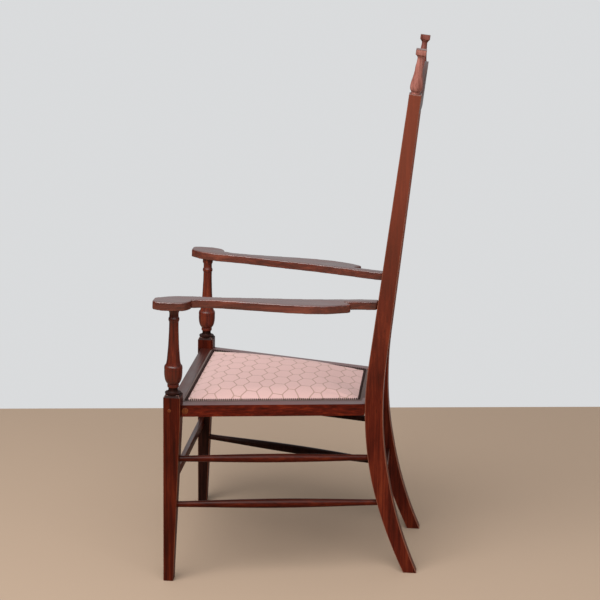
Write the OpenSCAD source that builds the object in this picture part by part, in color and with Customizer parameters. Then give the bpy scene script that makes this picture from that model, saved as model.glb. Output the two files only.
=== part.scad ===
// High-backed fireside chair with open arms and a pin-stuffed trapezoid seat.
// Millimetres, +Z up. The sitter faces -Y, and +X is the sitter's left hand.
// The origin is on the floor, midway across the chair and midway along its depth.

/* [Seat frame] */
// Height of the seat rails' top at the front legs
rail_top_h = 431; // [380:1:480]
// Fall of the seat towards the back, in degrees
seat_tilt = 1.4; // [0.5:0.1:4]
// Height of a seat rail, top to bottom
rail_h = 28; // [24:1:36]
// Width of a seat rail, seen from above
rail_w = 45; // [40:1:55]
// Half the width over the side rails where they meet the front legs
rail_front_half = 233; // [215:1:250]
// Half the width over the side rails where they meet the rear posts
rail_rear_half = 144.5; // [138:0.5:150]
// Distance from the front leg's centre to the rear post's centre at seat height
leg_spacing = 455.2; // [420:0.1:500]
// Show-wood left outside the upholstery, measured square to the rail
show_w = 24; // [20:1:30]
// Depth of the rebate that the upholstery sits in
rebate = 5; // [4.8:0.1:7]

/* [Front legs] */
// Half the distance between the front legs' centres
leg_half = 234; // [225:1:245]
// Side of the square leg at the seat
leg_w = 39; // [37:0.5:45]
// Side of the square foot
leg_foot_w = 23; // [20:1:34]
// Height at which the leg starts to taper
taper_h = 400; // [330:1:400]
// Height of the square block's top
block_top_h = 460; // [450:1:500]
// Forward lean of the leg towards the floor, in degrees
leg_lean = 0.95; // [0:0.05:3]
// Backward lean of the turned support above the leg, in degrees
support_lean = 1.6; // [0:0.1:3]

/* [Arms] */
// Height of the arm's underside at its turned support
arm_under_h = 665.5; // [620:0.5:720]
// Thickness of the arm
arm_t = 20; // [16:1:26]
// Fall of the arm towards the back, in degrees
arm_tilt = 2.15; // [0:0.1:4]
// Reach of the arm ahead of its support's centre
arm_nose = 43.5; // [30:1:60]
// Half the width over the hand pads
pad_outer_half = 277; // [265:1:295]
// Half the distance between the arms' tongues, centre to centre
tongue_half = 138; // [135:0.5:141]
// Width of the tongue at the rear post
tongue_w = 21; // [16:0.5:24]

/* [Rear posts] */
// Half the distance between the rear posts' centres at the seat
post_half = 127.5; // [125:0.5:130]
// Height of the posts' tops, below the finials
post_top_h = 1146; // [1000:1:1250]
// Backward rake of the posts above the seat, in degrees
post_rake = 6.58; // [3:0.01:10]
// Outward splay of the posts above the seat, in degrees
post_splay = 3.43; // [2:0.05:4.5]
// Depth of the post at the seat, front to back
post_d = 42; // [40:1:48]
// Depth of the post at its top
post_top_d = 27; // [24:0.5:32]
// Depth of the post at the floor
post_foot_d = 32; // [28:0.5:38]
// Thickness of the post at the seat, side to side
post_t = 34; // [31:1:38]
// Thickness of the post at its top
post_top_t = 25; // [24:0.5:30]
// Thickness of the post at the floor
post_foot_t = 25.5; // [22:0.5:32]
// Backward sweep of the rear foot, from the line of the post above
sweep = 146.5; // [120:0.5:170]
// Height at which the sweep starts
knee_h = 513; // [490:1:530]

/* [Finials] */
// Height of the finial above the post
finial_h = 97.5; // [80:0.5:120]
// Side of the finial's square cap
cap_w = 23; // [18:1:28]
// Thickness of the cap
cap_h = 12.5; // [8:0.5:18]
// Widest diameter of the vase
vase_d = 28; // [22:0.5:30]

/* [Stretchers] */
// Height of the upper side stretcher's centre at the front leg
upper_front_h = 299.5; // [280:0.5:320]
// Height of the upper side stretcher's centre at the rear leg
upper_rear_h = 284; // [262:1:300]
// Height of the lower side stretcher's centre at the front leg
lower_front_h = 186; // [165:1:205]
// Height of the lower side stretcher's centre at the rear leg
lower_rear_h = 172; // [150:1:188]
// Diameter of an upper side stretcher in the middle
upper_stretcher_d = 20.5; // [16:0.5:26]
// Diameter of a lower side stretcher in the middle
lower_stretcher_d = 22; // [16:0.5:26]
// Diameter of a side stretcher at its ends
stretcher_end_d = 14; // [10:0.5:15]
// Depth of the stretchers' sockets in the legs
socket = 15; // [10:1:18]
// Height of the front stretcher's top
front_bar_h = 242; // [225:1:255]
// Height of the rear stretcher's top
rear_bar_h = 217; // [200:1:235]
// Height of a flat stretcher, top to bottom
bar_h = 22; // [16:1:28]
// Thickness of a flat stretcher
bar_t = 11; // [8:0.5:14]

/* [Back] */
// Height of the lower back rail's bottom, along the rake above the knee
back_rail_up = 70; // [40:1:120]
// Height of the lower back rail
back_rail_h = 38; // [30:1:55]
// Thickness of the lower back rail
back_rail_t = 16; // [12:0.5:20]
// Number of slats
slat_count = 5; // [3:1:7]
// Width of a slat
slat_w = 20; // [14:1:24]
// Thickness of a slat
slat_t = 4.5; // [4:0.5:5.5]
// Drop of the crest rail's top below the post's top, at its ends
crest_drop = 14; // [6:1:30]
// Height of the crest rail at its ends
crest_h = 58; // [45:1:80]
// Rise of the arch in the crest rail's top
crest_rise = 68; // [30:1:80]
// Rise of the arch in the crest rail's bottom
crest_under_rise = 26; // [0:1:40]
// Thickness of the crest rail
crest_t = 8.5; // [8:0.5:12]
// Backward bow of the crest rail in the middle
crest_bow = 13; // [0:0.5:16]

/* [Upholstery] */
// Height of the seat's crown in the middle, above the rails
crown = 20; // [8:1:30]
// Width of the gimp braid
gimp_w = 12; // [9:0.5:15]
// Thickness of the gimp braid
gimp_t = 2.1; // [1.5:0.1:4]
// Width of a strap of webbing
web_w = 50; // [38:1:60]
// Straps from front to back
web_long_count = 4; // [3:1:4]
// Straps from side to side
web_cross_count = 4; // [3:1:5]

/* [Hidden] */
$fn = 48;

// Gap of a glued joint, gap beside cloth, and the overrun of every cut
fit = 0.15;
cloth_fit = 0.3;
over = 1;

// Height on the rear post where the seat meets it, and the curve of the swept foot
seat_line_h = rail_top_h - leg_spacing * tan(seat_tilt);
sweep_power = 1.98;
function sweep_at(z) = z < knee_h ? sweep * pow((knee_h - z) / knee_h, sweep_power) : 0;

// Backward drift of the front leg and of its turned support at a height, from the block's top
function lean_at(z) = (z - block_top_h) * tan(z > block_top_h ? support_lean : leg_lean);

// Places along the depth: the arm's nose and the rear foot are equally far from the origin
front_reach = arm_nose * cos(arm_tilt) - lean_at(arm_under_h);
rear_reach = post_foot_d / 2 + sweep - sweep_at(seat_line_h) - seat_line_h * tan(post_rake);
half_depth = (front_reach + leg_spacing + rear_reach) / 2;
leg_y = front_reach - half_depth;
leg_back_y = leg_y + leg_w / 2;
arm_y = leg_y + lean_at(arm_under_h);
post_seat_y = leg_y + leg_spacing;

// Centre, depth, thickness and half distance of the rear posts at a height
full_depth_h = knee_h * 0.46;
function post_y(z) = post_seat_y + (z - seat_line_h) * tan(post_rake) + sweep_at(z)
    - sweep_at(seat_line_h);
function upper_share(z) = (z - seat_line_h) / (post_top_h - seat_line_h);
function post_depth(z) = z < full_depth_h ? post_foot_d + (post_d - post_foot_d) * z / full_depth_h
    : z < seat_line_h ? post_d : post_d + (post_top_d - post_d) * upper_share(z);
function post_thick(z) = z < seat_line_h ? post_foot_t + (post_t - post_foot_t) * z / seat_line_h
    : post_t + (post_top_t - post_t) * upper_share(z);
function post_half_at(z) = z < seat_line_h ? post_half + (post_t - post_thick(z)) / 2
    : post_half + (z - seat_line_h) * tan(post_splay);
function post_front(z) = post_y(z) - post_depth(z) / 2;
// Side of the square front leg at a height
function leg_side(z) = leg_foot_w + (leg_w - leg_foot_w) * min(z, taper_h) / taper_h;

// The frame of the seat: x across, y back from the front legs' rear faces, z up from the rails' top
function seat_y(y) = (y - leg_back_y) / cos(seat_tilt);
rail_l = seat_y(post_seat_y - post_d / 2);
rail_angle = atan((rail_front_half - rail_rear_half) / rail_l);
function rail_outer(y) = rail_front_half - y * tan(rail_angle);
function rail_inner(y) = rail_outer(y) - rail_w / cos(rail_angle);
front_rail_set_share = 0.793;
front_rail_y0 = -leg_w * front_rail_set_share;
front_rail_y1 = front_rail_y0 + rail_w;
rear_rail_set_share = 0.55;
rear_rail_y1 = rail_l + post_d * rear_rail_set_share;
rear_rail_y0 = rear_rail_y1 - rail_w;

// A smooth curve through a list of points, curve_steps pieces to each stretch
curve_steps = 6;
function curve_point(a, b, c, d, t) =
    (2 * b + (c - a) * t + (2 * a - 5 * b + 4 * c - d) * t * t + (3 * b - a - 3 * c + d) * t * t * t) / 2;
function curve(p) = let (n = len(p) - 1) concat(
    [for (i = [0:n - 1], k = [0:curve_steps - 1])
        curve_point(p[max(i - 1, 0)], p[i], p[i + 1], p[min(i + 2, n)], k / curve_steps)],
    [p[n]]);

module on_seat() {
    translate([0, leg_back_y, rail_top_h]) rotate([-seat_tilt, 0, 0]) children();
}

module both_sides() {
    children();
    mirror([1, 0, 0]) children();
}

// A bar laid from point a to point b, its own +Z running from a to b
module along(a, b) {
    d = b - a;
    translate(a) rotate([0, acos(d[2] / norm(d)), atan2(d[1], d[0])]) children();
}

module block(size) {
    translate([-size[0] / 2, -size[1] / 2, 0]) cube(size);
}

// Front legs: a square leg below, and the arm's turned support above, from one stick
block_chamfer = 4.5;
block_chamfer_h = 6;
support_l = arm_under_h - block_top_h;
pin_d = 14;
pin_l = 12;
collar_d = 42;
support_top_d = 26;

// The turning from the block upwards, as shares of its length and of the collar's diameter
base_shares = [[0, 0.88], [0.015, 0.88]];
cove_shares = [[0.017, 0.74], [0.024, 0.62], [0.037, 0.524], [0.066, 0.514]];
ring_shares = [[0.073, 0.583], [0.08, 0.633], [0.102, 0.638], [0.11, 0.607]];
urn_shares = [[0.114, 0.631], [0.127, 0.73], [0.139, 0.8], [0.161, 0.886], [0.185, 0.938],
              [0.209, 0.971], [0.238, 0.99], [0.268, 0.993]];
collar_shares = [[0.275, 0.967], [0.282, 0.99], [0.29, 1], [0.314, 0.981], [0.326, 0.943]];
swell_shares = [[0.332, 0.848], [0.346, 0.807], [0.368, 0.755], [0.392, 0.719], [0.438, 0.679],
                [0.484, 0.645], [0.53, 0.607], [0.599, 0.571], [0.667, 0.545], [0.737, 0.519],
                [0.818, 0.51]];
bead_shares = [[0.83, 0.512], [0.837, 0.548], [0.847, 0.593], [0.866, 0.595], [0.877, 0.557],
               [0.883, 0.505]];
flare_shares = [[0.925, 0.5], [0.937, 0.524], [0.949, 0.576], [0.961, 0.619]];

function support_profile() = [for (p = concat([[0, 0]], base_shares, curve(cove_shares), ring_shares,
    curve(urn_shares), collar_shares, curve(swell_shares), bead_shares, flare_shares))
    [collar_d / 2 * p[1], support_l * p[0]]];

module leg_blank(grow = 0) {
    lift = lean_at(0);
    side = leg_w / 2 + grow;
    top = block_top_h + grow;
    intersection() {
        translate([0, leg_y, 0]) rotate([90, 0, 90]) translate([0, 0, leg_half - leg_w])
            linear_extrude(2 * leg_w) polygon([
                [lift - side, -grow], [lift - side + leg_foot_w + 2 * grow, -grow],
                [lean_at(taper_h) + side, taper_h], [side, top - block_chamfer_h],
                [side - block_chamfer, top], [block_chamfer - side, top],
                [-side, top - block_chamfer_h]]);
        translate([leg_half, leg_y + leg_w, 0]) rotate([90, 0, 0])
            linear_extrude(2 * leg_w - 2 * lift) polygon([
                [side, -grow], [side, top - block_chamfer_h], [side - block_chamfer, top],
                [block_chamfer - side, top], [-side, top - block_chamfer_h], [-side, taper_h],
                [side - leg_foot_w - 2 * grow, -grow]]);
    }
}

module support_pin(grow = 0) {
    translate([leg_half, leg_y, block_top_h]) rotate([-support_lean, 0, 0])
        translate([0, 0, support_l - 2 * over])
            cylinder(d = pin_d + 2 * grow, h = pin_l + 2 * over + grow);
}

module front_leg() {
    color("saddlebrown") difference() {
        union() {
            leg_blank();
            translate([leg_half, leg_y, block_top_h]) rotate([-support_lean, 0, 0])
                rotate_extrude() polygon(concat(support_profile(),
                    [[support_top_d / 2, support_l - fit], [0, support_l - fit]]));
            support_pin();
        }
        side_rail_tenons(fit);
        front_rail_tenons(fit);
        side_stretchers(fit);
        front_bar_tenons(fit);
        screw_holes();
    }
}

module front_leg_left() { front_leg(); }
module front_leg_right() { mirror([1, 0, 0]) front_leg(); }

// Rear posts: one stick from the swept foot to the raked top, with a turned finial dowelled in
post_steps = 14;
post_top_y = post_y(post_top_h);
post_top_half = post_half_at(post_top_h);
dowel_d = 9;
dowel_l = 18;
post_tilt = atan(tan(post_rake) * cos(post_splay));

module at_post_top() {
    translate([post_top_half, post_top_y, post_top_h]) rotate([-post_tilt, post_splay, 0])
        children();
}

module post_blank(grow = 0) {
    high = post_top_h + post_d;
    low_z = [for (i = [0:post_steps]) knee_h * i / post_steps];
    turn_z = concat(low_z, [high]);
    side_z = [0, seat_line_h, high];
    difference() {
        intersection() {
            rotate([90, 0, 90]) linear_extrude(2 * post_top_half) polygon(concat(
                [for (z = turn_z) [post_front(z) - grow, z]],
                [for (i = [len(turn_z) - 1:-1:0]) let (z = turn_z[i])
                    [post_y(z) + post_depth(z) / 2 + grow, z]]));
            translate([0, post_y(0) + high, 0]) rotate([90, 0, 0])
                linear_extrude(2 * high) polygon(concat(
                    [for (z = side_z) [post_half_at(z) + post_thick(z) / 2 + grow, z]],
                    [for (i = [2:-1:0]) let (z = side_z[i])
                        [post_half_at(z) - post_thick(z) / 2 - grow, z]]));
        }
        at_post_top() translate([0, 0, grow]) block([high, high, high]);
    }
}

module rear_post() {
    color("sienna") difference() {
        post_blank();
        side_rail_tenons(fit);
        rear_rail_tenons(fit);
        side_stretchers(fit);
        rear_bar_tenons(fit);
        arm_tenon(fit);
        back_rail_tenons(fit);
        crest_tenons(fit);
        at_post_top() translate([0, 0, -dowel_l - fit])
            cylinder(d = dowel_d + 2 * fit, h = dowel_l + fit + over);
    }
}

module rear_post_left() { rear_post(); }
module rear_post_right() { mirror([1, 0, 0]) rear_post(); }

// Finials: a cove, a slender vase and a square cap, as shares of the height and the vase's width
foot_shares = [[0, 0.77], [0.02, 0.73], [0.045, 0.74], [0.06, 0.8]];
vase_shares = [[0.065, 0.84], [0.09, 0.93], [0.13, 0.99], [0.17, 1], [0.24, 0.955], [0.32, 0.85],
               [0.41, 0.72], [0.5, 0.64], [0.6, 0.575], [0.7, 0.51], [0.77, 0.47], [0.82, 0.5],
               [0.865, 0.72]];

function finial_profile() = concat([[0, fit]],
    [for (p = concat(foot_shares, curve(vase_shares)))
        [vase_d / 2 * p[1], finial_h * p[0] + fit]],
    [[vase_d / 4, finial_h - cap_h / 2], [0, finial_h - cap_h / 2]]);

module finial() {
    color("peru") at_post_top() {
        rotate_extrude() polygon(finial_profile());
        translate([0, 0, finial_h - cap_h]) block([cap_w, cap_w, cap_h]);
        translate([0, 0, -dowel_l]) cylinder(d = dowel_d, h = dowel_l + over);
    }
}

module finial_left() { finial(); }
module finial_right() { mirror([1, 0, 0]) finial(); }

// Arms: sawn from a board, with a hand pad, a notch behind it, a second notch at the rear shoulder
// and a narrow tongue that meets the post
arm_tenon_w = 10;
arm_tenon_h = 10;
arm_tenon_l = 14;
arm_l = (post_front(arm_under_h) - arm_y) / cos(arm_tilt);
full_l = arm_l + arm_nose;

module on_arm() {
    translate([0, arm_y, arm_under_h]) rotate([-arm_tilt, 0, 0]) children();
}

// Edges of the arm from nose to post, as shares of its length and of the way out
// from the tongue's centre to the hand pad's edge
nose_shares = [[0, 0.751], [0, 0.924], [0.012, 0.97], [0.033, 1], [0.09, 0.996], [0.127, 0.965],
               [0.147, 0.925], [0.159, 0.87], [0.1665, 0.81], [0.169, 0.765], [0.166, 0.72]];
outer_shares = [[0.168, 0.714], [0.174, 0.727], [0.183, 0.72], [0.206, 0.69], [0.256, 0.657],
                [0.346, 0.643], [0.547, 0.641], [0.657, 0.625], [0.747, 0.572], [0.797, 0.51],
                [0.838, 0.442], [0.86, 0.398], [0.873, 0.358], [0.8795, 0.326], [0.877, 0.304],
                [0.866, 0.27], [0.848, 0.21]];
tongue_shares = [[0.841, 0.195], [0.858, 0.19], [0.873, 0.18], [0.895, 0.156], [0.917, 0.137],
                 [0.94, 0.12], [0.962, 0.104], [0.985, 0.086]];
inner_shares = [[0.98, -0.076], [0.92, -0.04], [0.838, 0.043], [0.657, 0.201], [0.466, 0.322],
                [0.276, 0.454], [0.196, 0.484], [0.149, 0.502], [0.101, 0.54], [0.053, 0.603],
                [0.018, 0.687], [0, 0.741]];

function arm_points(shares) = [for (p = shares) [tongue_half + (pad_outer_half - tongue_half) * p[1],
     full_l * p[0] - arm_nose]];
function arm_outline() = concat(arm_points(curve(nose_shares)), arm_points(curve(outer_shares)),
    arm_points(curve(tongue_shares)),
    [[tongue_half + tongue_w / 2, arm_l], [tongue_half + tongue_w / 2, arm_l + post_d],
     [tongue_half - tongue_w / 2, arm_l + post_d]],
    arm_points(curve(inner_shares)));

module arm_tenon(grow = 0) {
    on_arm() translate([tongue_half, arm_l - post_d / 2, arm_t / 2 - arm_tenon_h / 2 - grow])
        translate([-arm_tenon_w / 2 - grow, 0, 0])
            cube([arm_tenon_w + 2 * grow, post_d / 2 + arm_tenon_l + grow, arm_tenon_h + 2 * grow]);
}

module arm() {
    color("chocolate") difference() {
        union() {
            difference() {
                on_arm() linear_extrude(arm_t) polygon(arm_outline());
                post_blank(fit);
                on_arm() translate([tongue_half, arm_l + 2 * post_d, -arm_t])
                    block([2 * post_d, 3 * post_d, 3 * arm_t]);
            }
            arm_tenon();
        }
        support_pin(fit);
    }
}

module arm_left() { arm(); }
module arm_right() { mirror([1, 0, 0]) arm(); }

// Seat rails: laid flat, tenoned into the legs and posts, rebated for the upholstery
tenon_t = 9;
tenon_h = 18;
side_tenon_front_l = 15;
side_tenon_rear_l = 12;
front_tenon_l = 24;
front_tenon_h = 14;
front_tenon_down = 1.5;
tenon_in = 1.2;
rear_tenon_l = 14;

// The upholstered area in the seat's frame, drawn in by a margin from the show-wood's edge
function area_outer(y, margin) = rail_outer(y) - (show_w + margin) / cos(rail_angle);
area_y0 = front_rail_y0 + show_w + 2;
area_y1 = rail_l - show_w / 3;
function seat_area(margin) = [
    [-area_outer(area_y0 + margin, margin), area_y0 + margin],
    [area_outer(area_y0 + margin, margin), area_y0 + margin],
    [area_outer(area_y1 - margin, margin), area_y1 - margin],
    [-area_outer(area_y1 - margin, margin), area_y1 - margin]];

module rebate_cut() {
    on_seat() translate([0, 0, -rebate]) linear_extrude(rebate + over) polygon(seat_area(0));
}

module side_rail_plan(grow = 0) {
    polygon([[rail_outer(0) + grow, fit - grow], [rail_outer(rail_l) + grow, rail_l - fit + grow],
             [rail_inner(rail_l) - grow, rail_l - fit + grow], [rail_inner(0) - grow, fit - grow]]);
}

front_tenon_x = rail_front_half - rail_w / 4;
rear_tenon_x = post_half - tenon_t / 4;
tenon_drop = (rail_h + tenon_h) / 2;

module side_rail_tenons(grow = 0) {
    on_seat() translate([0, 0, -tenon_drop - grow]) {
        translate([front_tenon_x - tenon_t / 2 - grow, -side_tenon_front_l - grow, 0])
            cube([tenon_t + 2 * grow, side_tenon_front_l + tenon_t, tenon_h + 2 * grow]);
        translate([rear_tenon_x - tenon_t / 2 - grow, rail_l - tenon_t, 0])
            cube([tenon_t + 2 * grow, tenon_t + side_tenon_rear_l + grow, tenon_h + 2 * grow]);
    }
}

module side_rail() {
    color("brown") difference() {
        union() {
            difference() {
                on_seat() translate([0, 0, -rail_h]) linear_extrude(rail_h) side_rail_plan();
                post_blank(fit);
            }
            side_rail_tenons();
        }
        rebate_cut();
        screw_holes();
        tack_holes();
    }
}

module side_seat_rail_left() { side_rail(); }
module side_seat_rail_right() { mirror([1, 0, 0]) side_rail(); }

front_tenon_y = front_rail_y0 + tenon_t / 2 + tenon_in;
front_tenon_z = -front_tenon_down - front_tenon_h;

module front_rail_tenons(grow = 0) {
    reach = leg_half - leg_w / 2 + front_tenon_l + grow;
    on_seat() translate([-reach, front_tenon_y - tenon_t / 2 - grow, front_tenon_z - grow])
        cube([2 * reach, tenon_t + 2 * grow, front_tenon_h + 2 * grow]);
}

module front_seat_rail() {
    half = leg_half - leg_w / 2 - fit;
    color("firebrick") difference() {
        union() {
            on_seat() translate([0, 0, -rail_h]) linear_extrude(rail_h) difference() {
                translate([-half, front_rail_y0]) square([2 * half, rail_w]);
                both_sides() side_rail_plan(fit);
            }
            front_rail_tenons();
        }
        rebate_cut();
        both_sides() screw_holes();
        both_sides() tack_holes();
    }
}

rear_tenon_y = rear_rail_y1 - tenon_t / 2 - tenon_in;

module rear_rail_tenons(grow = 0) {
    reach = post_half - post_t / 2 + rear_tenon_l + grow;
    on_seat() translate([-reach, rear_tenon_y - tenon_t / 2 - grow, -tenon_drop - grow])
        cube([2 * reach, tenon_t + 2 * grow, tenon_h + 2 * grow]);
}

module rear_seat_rail() {
    color("firebrick") difference() {
        union() {
            difference() {
                on_seat() translate([0, 0, -rail_h]) linear_extrude(rail_h) difference() {
                    translate([-post_half, rear_rail_y0]) square([2 * post_half, rail_w]);
                    both_sides() side_rail_plan(fit);
                }
                both_sides() post_blank(fit);
            }
            rear_rail_tenons();
        }
        rebate_cut();
        both_sides() tack_holes();
    }
}

// Corner blocks glued into the four inner corners under the rebate
block_leg = 58;
block_h = 20;

module corner_block_pair(y0, y1) {
    on_seat() translate([0, 0, -rail_h + fit]) linear_extrude(block_h) polygon([
        [rail_inner(y0) - fit, y0], [rail_inner(y1) - fit, y1], [rail_inner(y0) - block_leg, y0]]);
}

module corner_blocks() {
    color("burlywood") both_sides() {
        corner_block_pair(front_rail_y1 + fit, front_rail_y1 + block_leg);
        corner_block_pair(rear_rail_y0 - fit, rear_rail_y0 - block_leg);
    }
}

// Turned side stretchers, slender at the ends and swelling in the middle
stretcher_steps = 12;
stretcher_power = 1.4;
stretcher_front_x = leg_half - 1.5;
stretcher_rear_x = post_half + 1;

function leg_rear_face(z) = leg_y + lean_at(z) - leg_w / 2 + leg_side(z);
function stretcher_start(z) = [stretcher_front_x, leg_rear_face(z) - socket, z];
function stretcher_finish(z) = [stretcher_rear_x, post_front(z) + socket, z];

module turned_bar(a, b, mid_d, grow = 0) {
    bar_l = norm(b - a);
    free_l = bar_l - 2 * socket;
    along(a, b) translate([0, 0, -grow]) rotate_extrude() polygon(concat(
        [[0, 0], [stretcher_end_d / 2 + grow, 0]],
        [for (i = [0:stretcher_steps]) let (s = i / stretcher_steps)
            [stretcher_end_d / 2 + grow
                + (mid_d - stretcher_end_d) / 2 * pow(sin(180 * s), stretcher_power),
             socket + grow + free_l * s]],
        [[stretcher_end_d / 2 + grow, bar_l + 2 * grow], [0, bar_l + 2 * grow]]));
}

module upper_bar(grow = 0) {
    turned_bar(stretcher_start(upper_front_h), stretcher_finish(upper_rear_h), upper_stretcher_d, grow);
}
module lower_bar(grow = 0) {
    turned_bar(stretcher_start(lower_front_h), stretcher_finish(lower_rear_h), lower_stretcher_d, grow);
}

// Round sockets for the side stretchers, cut in legs and posts
module socket_pair(a, b, grow) {
    along(a, b) translate([0, 0, -grow])
        cylinder(d = stretcher_end_d + 2 * grow, h = norm(b - a) + 2 * grow);
}
module side_stretchers(grow) {
    socket_pair(stretcher_start(upper_front_h), stretcher_finish(upper_rear_h), grow);
    socket_pair(stretcher_start(lower_front_h), stretcher_finish(lower_rear_h), grow);
}

module upper_side_stretcher_left() { color("indianred") upper_bar(); }
module upper_side_stretcher_right() { mirror([1, 0, 0]) upper_side_stretcher_left(); }
module lower_side_stretcher_left() { color("indianred") lower_bar(); }
module lower_side_stretcher_right() { mirror([1, 0, 0]) lower_side_stretcher_left(); }

// Flat stretchers between the front legs and between the rear legs
bar_tenon_t = 7;
bar_tenon_h = 14;
bar_tenon_l = 12;
front_bar_mid_h = front_bar_h - bar_h / 2;
rear_bar_mid_h = rear_bar_h - bar_h / 2;
front_bar_y = leg_y + lean_at(front_bar_mid_h) - leg_w / 2 + bar_t;
front_bar_half = leg_half + leg_w / 2 - leg_side(front_bar_mid_h);
rear_bar_y = post_y(rear_bar_mid_h);
rear_bar_half = post_half - post_thick(rear_bar_mid_h) / 2;

module flat_bar_tenons(half, y, mid_h, grow) {
    translate([-half - bar_tenon_l - grow, y - bar_tenon_t / 2 - grow, mid_h - bar_tenon_h / 2 - grow])
        cube([2 * (half + bar_tenon_l + grow), bar_tenon_t + 2 * grow, bar_tenon_h + 2 * grow]);
}
module flat_bar(half, y, mid_h) {
    translate([-half - leg_foot_w / 4, y - bar_t / 2, mid_h - bar_h / 2])
        cube([2 * half + leg_foot_w / 2, bar_t, bar_h]);
}

module front_bar_tenons(grow = 0) { flat_bar_tenons(front_bar_half, front_bar_y, front_bar_mid_h, grow); }
module rear_bar_tenons(grow = 0) { flat_bar_tenons(rear_bar_half, rear_bar_y, rear_bar_mid_h, grow); }

module front_stretcher() {
    color("maroon") union() {
        difference() {
            flat_bar(front_bar_half, front_bar_y, front_bar_mid_h);
            both_sides() leg_blank(fit);
        }
        front_bar_tenons();
    }
}

module rear_stretcher() {
    color("maroon") union() {
        difference() {
            flat_bar(rear_bar_half, rear_bar_y, rear_bar_mid_h);
            both_sides() post_blank(fit);
        }
        rear_bar_tenons();
    }
}

// The back: a lower rail, plain slats and an arched, bowed crest rail between the posts
back_tenon_t = 8;
crest_tenon_t = 5;
back_tenon_l = 13;
back_l = (post_top_h - knee_h) / cos(post_rake);
crest_top = back_l - crest_drop;
crest_bottom = crest_top - crest_h;
crest_steps = 16;
slat_tenon_l = 10;
function back_half(z) = post_half_at(knee_h + z * cos(post_rake))
    - post_thick(knee_h + z * cos(post_rake)) / 2;

module on_back() {
    translate([0, post_y(knee_h), knee_h]) rotate([-post_rake, 0, 0]) children();
}

module back_rail_tenons(grow = 0) {
    reach = back_half(back_rail_up) + back_tenon_l + grow;
    height = back_rail_h - 2 * back_tenon_t;
    on_back() translate([-reach, -back_tenon_t / 2 - grow, back_rail_up + back_tenon_t - grow])
        cube([2 * reach, back_tenon_t + 2 * grow, height + 2 * grow]);
}

module lower_back_rail() {
    reach = back_half(back_rail_up + back_rail_h) + post_t / 4;
    color("darkred") difference() {
        union() {
            difference() {
                on_back() translate([-reach, -back_rail_t / 2, back_rail_up])
                    cube([2 * reach, back_rail_t, back_rail_h]);
                both_sides() post_blank(fit);
            }
            back_rail_tenons();
        }
        slats(fit);
    }
}

// Bow of the crest rail across the chair, from its middle to its ends
crest_half = back_half(crest_bottom) + post_top_t / 4;
function crest_y(x) = crest_bow * (1 - pow(x / crest_half, 2));

module crest_tenons(grow = 0) {
    reach = back_half(crest_bottom) + back_tenon_l + grow;
    height = crest_h - 2 * back_tenon_t;
    on_back() both_sides() translate([reach - 2 * back_tenon_l, -crest_tenon_t / 2 - grow,
                                      crest_bottom + back_tenon_t - grow])
        cube([2 * back_tenon_l, crest_tenon_t + 2 * grow, height + 2 * grow]);
}

module crest_board() {
    xs = [for (i = [0:crest_steps]) crest_half * (2 * i / crest_steps - 1)];
    function rise(x) = pow(cos(90 * x / crest_half), 1.4);
    on_back() intersection() {
        translate([0, post_d, 0]) rotate([90, 0, 0]) linear_extrude(2 * post_d) polygon(concat(
            [for (x = xs) [x, crest_bottom + crest_under_rise * rise(x)]],
            [for (i = [crest_steps:-1:0]) [xs[i], crest_top + crest_rise * rise(xs[i])]]));
        translate([0, 0, crest_bottom]) linear_extrude(crest_h + crest_rise) polygon(concat(
            [for (x = xs) [x, crest_y(x) - crest_t / 2]],
            [for (i = [crest_steps:-1:0]) [xs[i], crest_y(xs[i]) + crest_t / 2]]));
    }
}

module crest_rail() {
    color("darkred") difference() {
        union() {
            difference() {
                crest_board();
                both_sides() post_blank(fit);
            }
            crest_tenons();
        }
        slats(fit);
    }
}

slat_z0 = back_rail_up + back_rail_h - slat_tenon_l;
slat_low_half = back_half(slat_z0);
slat_high_half = back_half(crest_bottom);

module slats(grow = 0) {
    on_back() for (i = [0:slat_count - 1]) {
        share = (2 * i - slat_count + 1) / (slat_count + 1);
        low = [share * slat_low_half, 0, slat_z0 - grow];
        x1 = share * slat_high_half;
        z1 = crest_bottom + crest_under_rise * pow(cos(90 * x1 / crest_half), 1.4) + slat_tenon_l;
        high = [x1, crest_y(x1), z1 + grow];
        lean = atan((high[1] - low[1]) / (high[2] - low[2]));
        fan = atan((high[0] - low[0]) / (high[2] - low[2]));
        translate(low) rotate([-lean, fan, 0])
            block([slat_w + 2 * grow, slat_t + 2 * grow, norm(high - low)]);
    }
}

module back_slats() { color("tomato") slats(); }

// Screws sunk under wooden plugs: through the leg, and through the side rail, into the front rail
screw_d = 4.2;
screw_head_d = 8;
screw_head_h = 3;
plug_h = 5;
plug_proud = 0.2;
leg_plug_d = 8;
rail_plug_d = 15;
leg_screw_l = 58;
rail_screw_l = rail_w + 18;
rail_screw_in = 7;

// Outer end and inner end of each screw's hole on the left-hand side
leg_screw_y = leg_back_y + front_tenon_y;
leg_screw_z = rail_top_h + front_tenon_z + front_tenon_h / 2 - front_tenon_y * tan(seat_tilt);
leg_screw = [[leg_half + leg_w / 2, leg_screw_y, leg_screw_z],
             [leg_half + leg_w / 2 - leg_screw_l, leg_screw_y, leg_screw_z]];
rail_screw_x = rail_outer(rail_screw_in);
rail_screw_y = leg_back_y + rail_screw_in;
rail_screw_z = rail_top_h - rail_h / 2 - rail_screw_in * tan(seat_tilt);
rail_screw = [[rail_screw_x, rail_screw_y, rail_screw_z],
              [rail_screw_x - rail_screw_l * cos(rail_angle), rail_screw_y - rail_screw_l * sin(rail_angle),
               rail_screw_z]];
screw_places = [[leg_screw, leg_plug_d], [rail_screw, rail_plug_d]];

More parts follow.
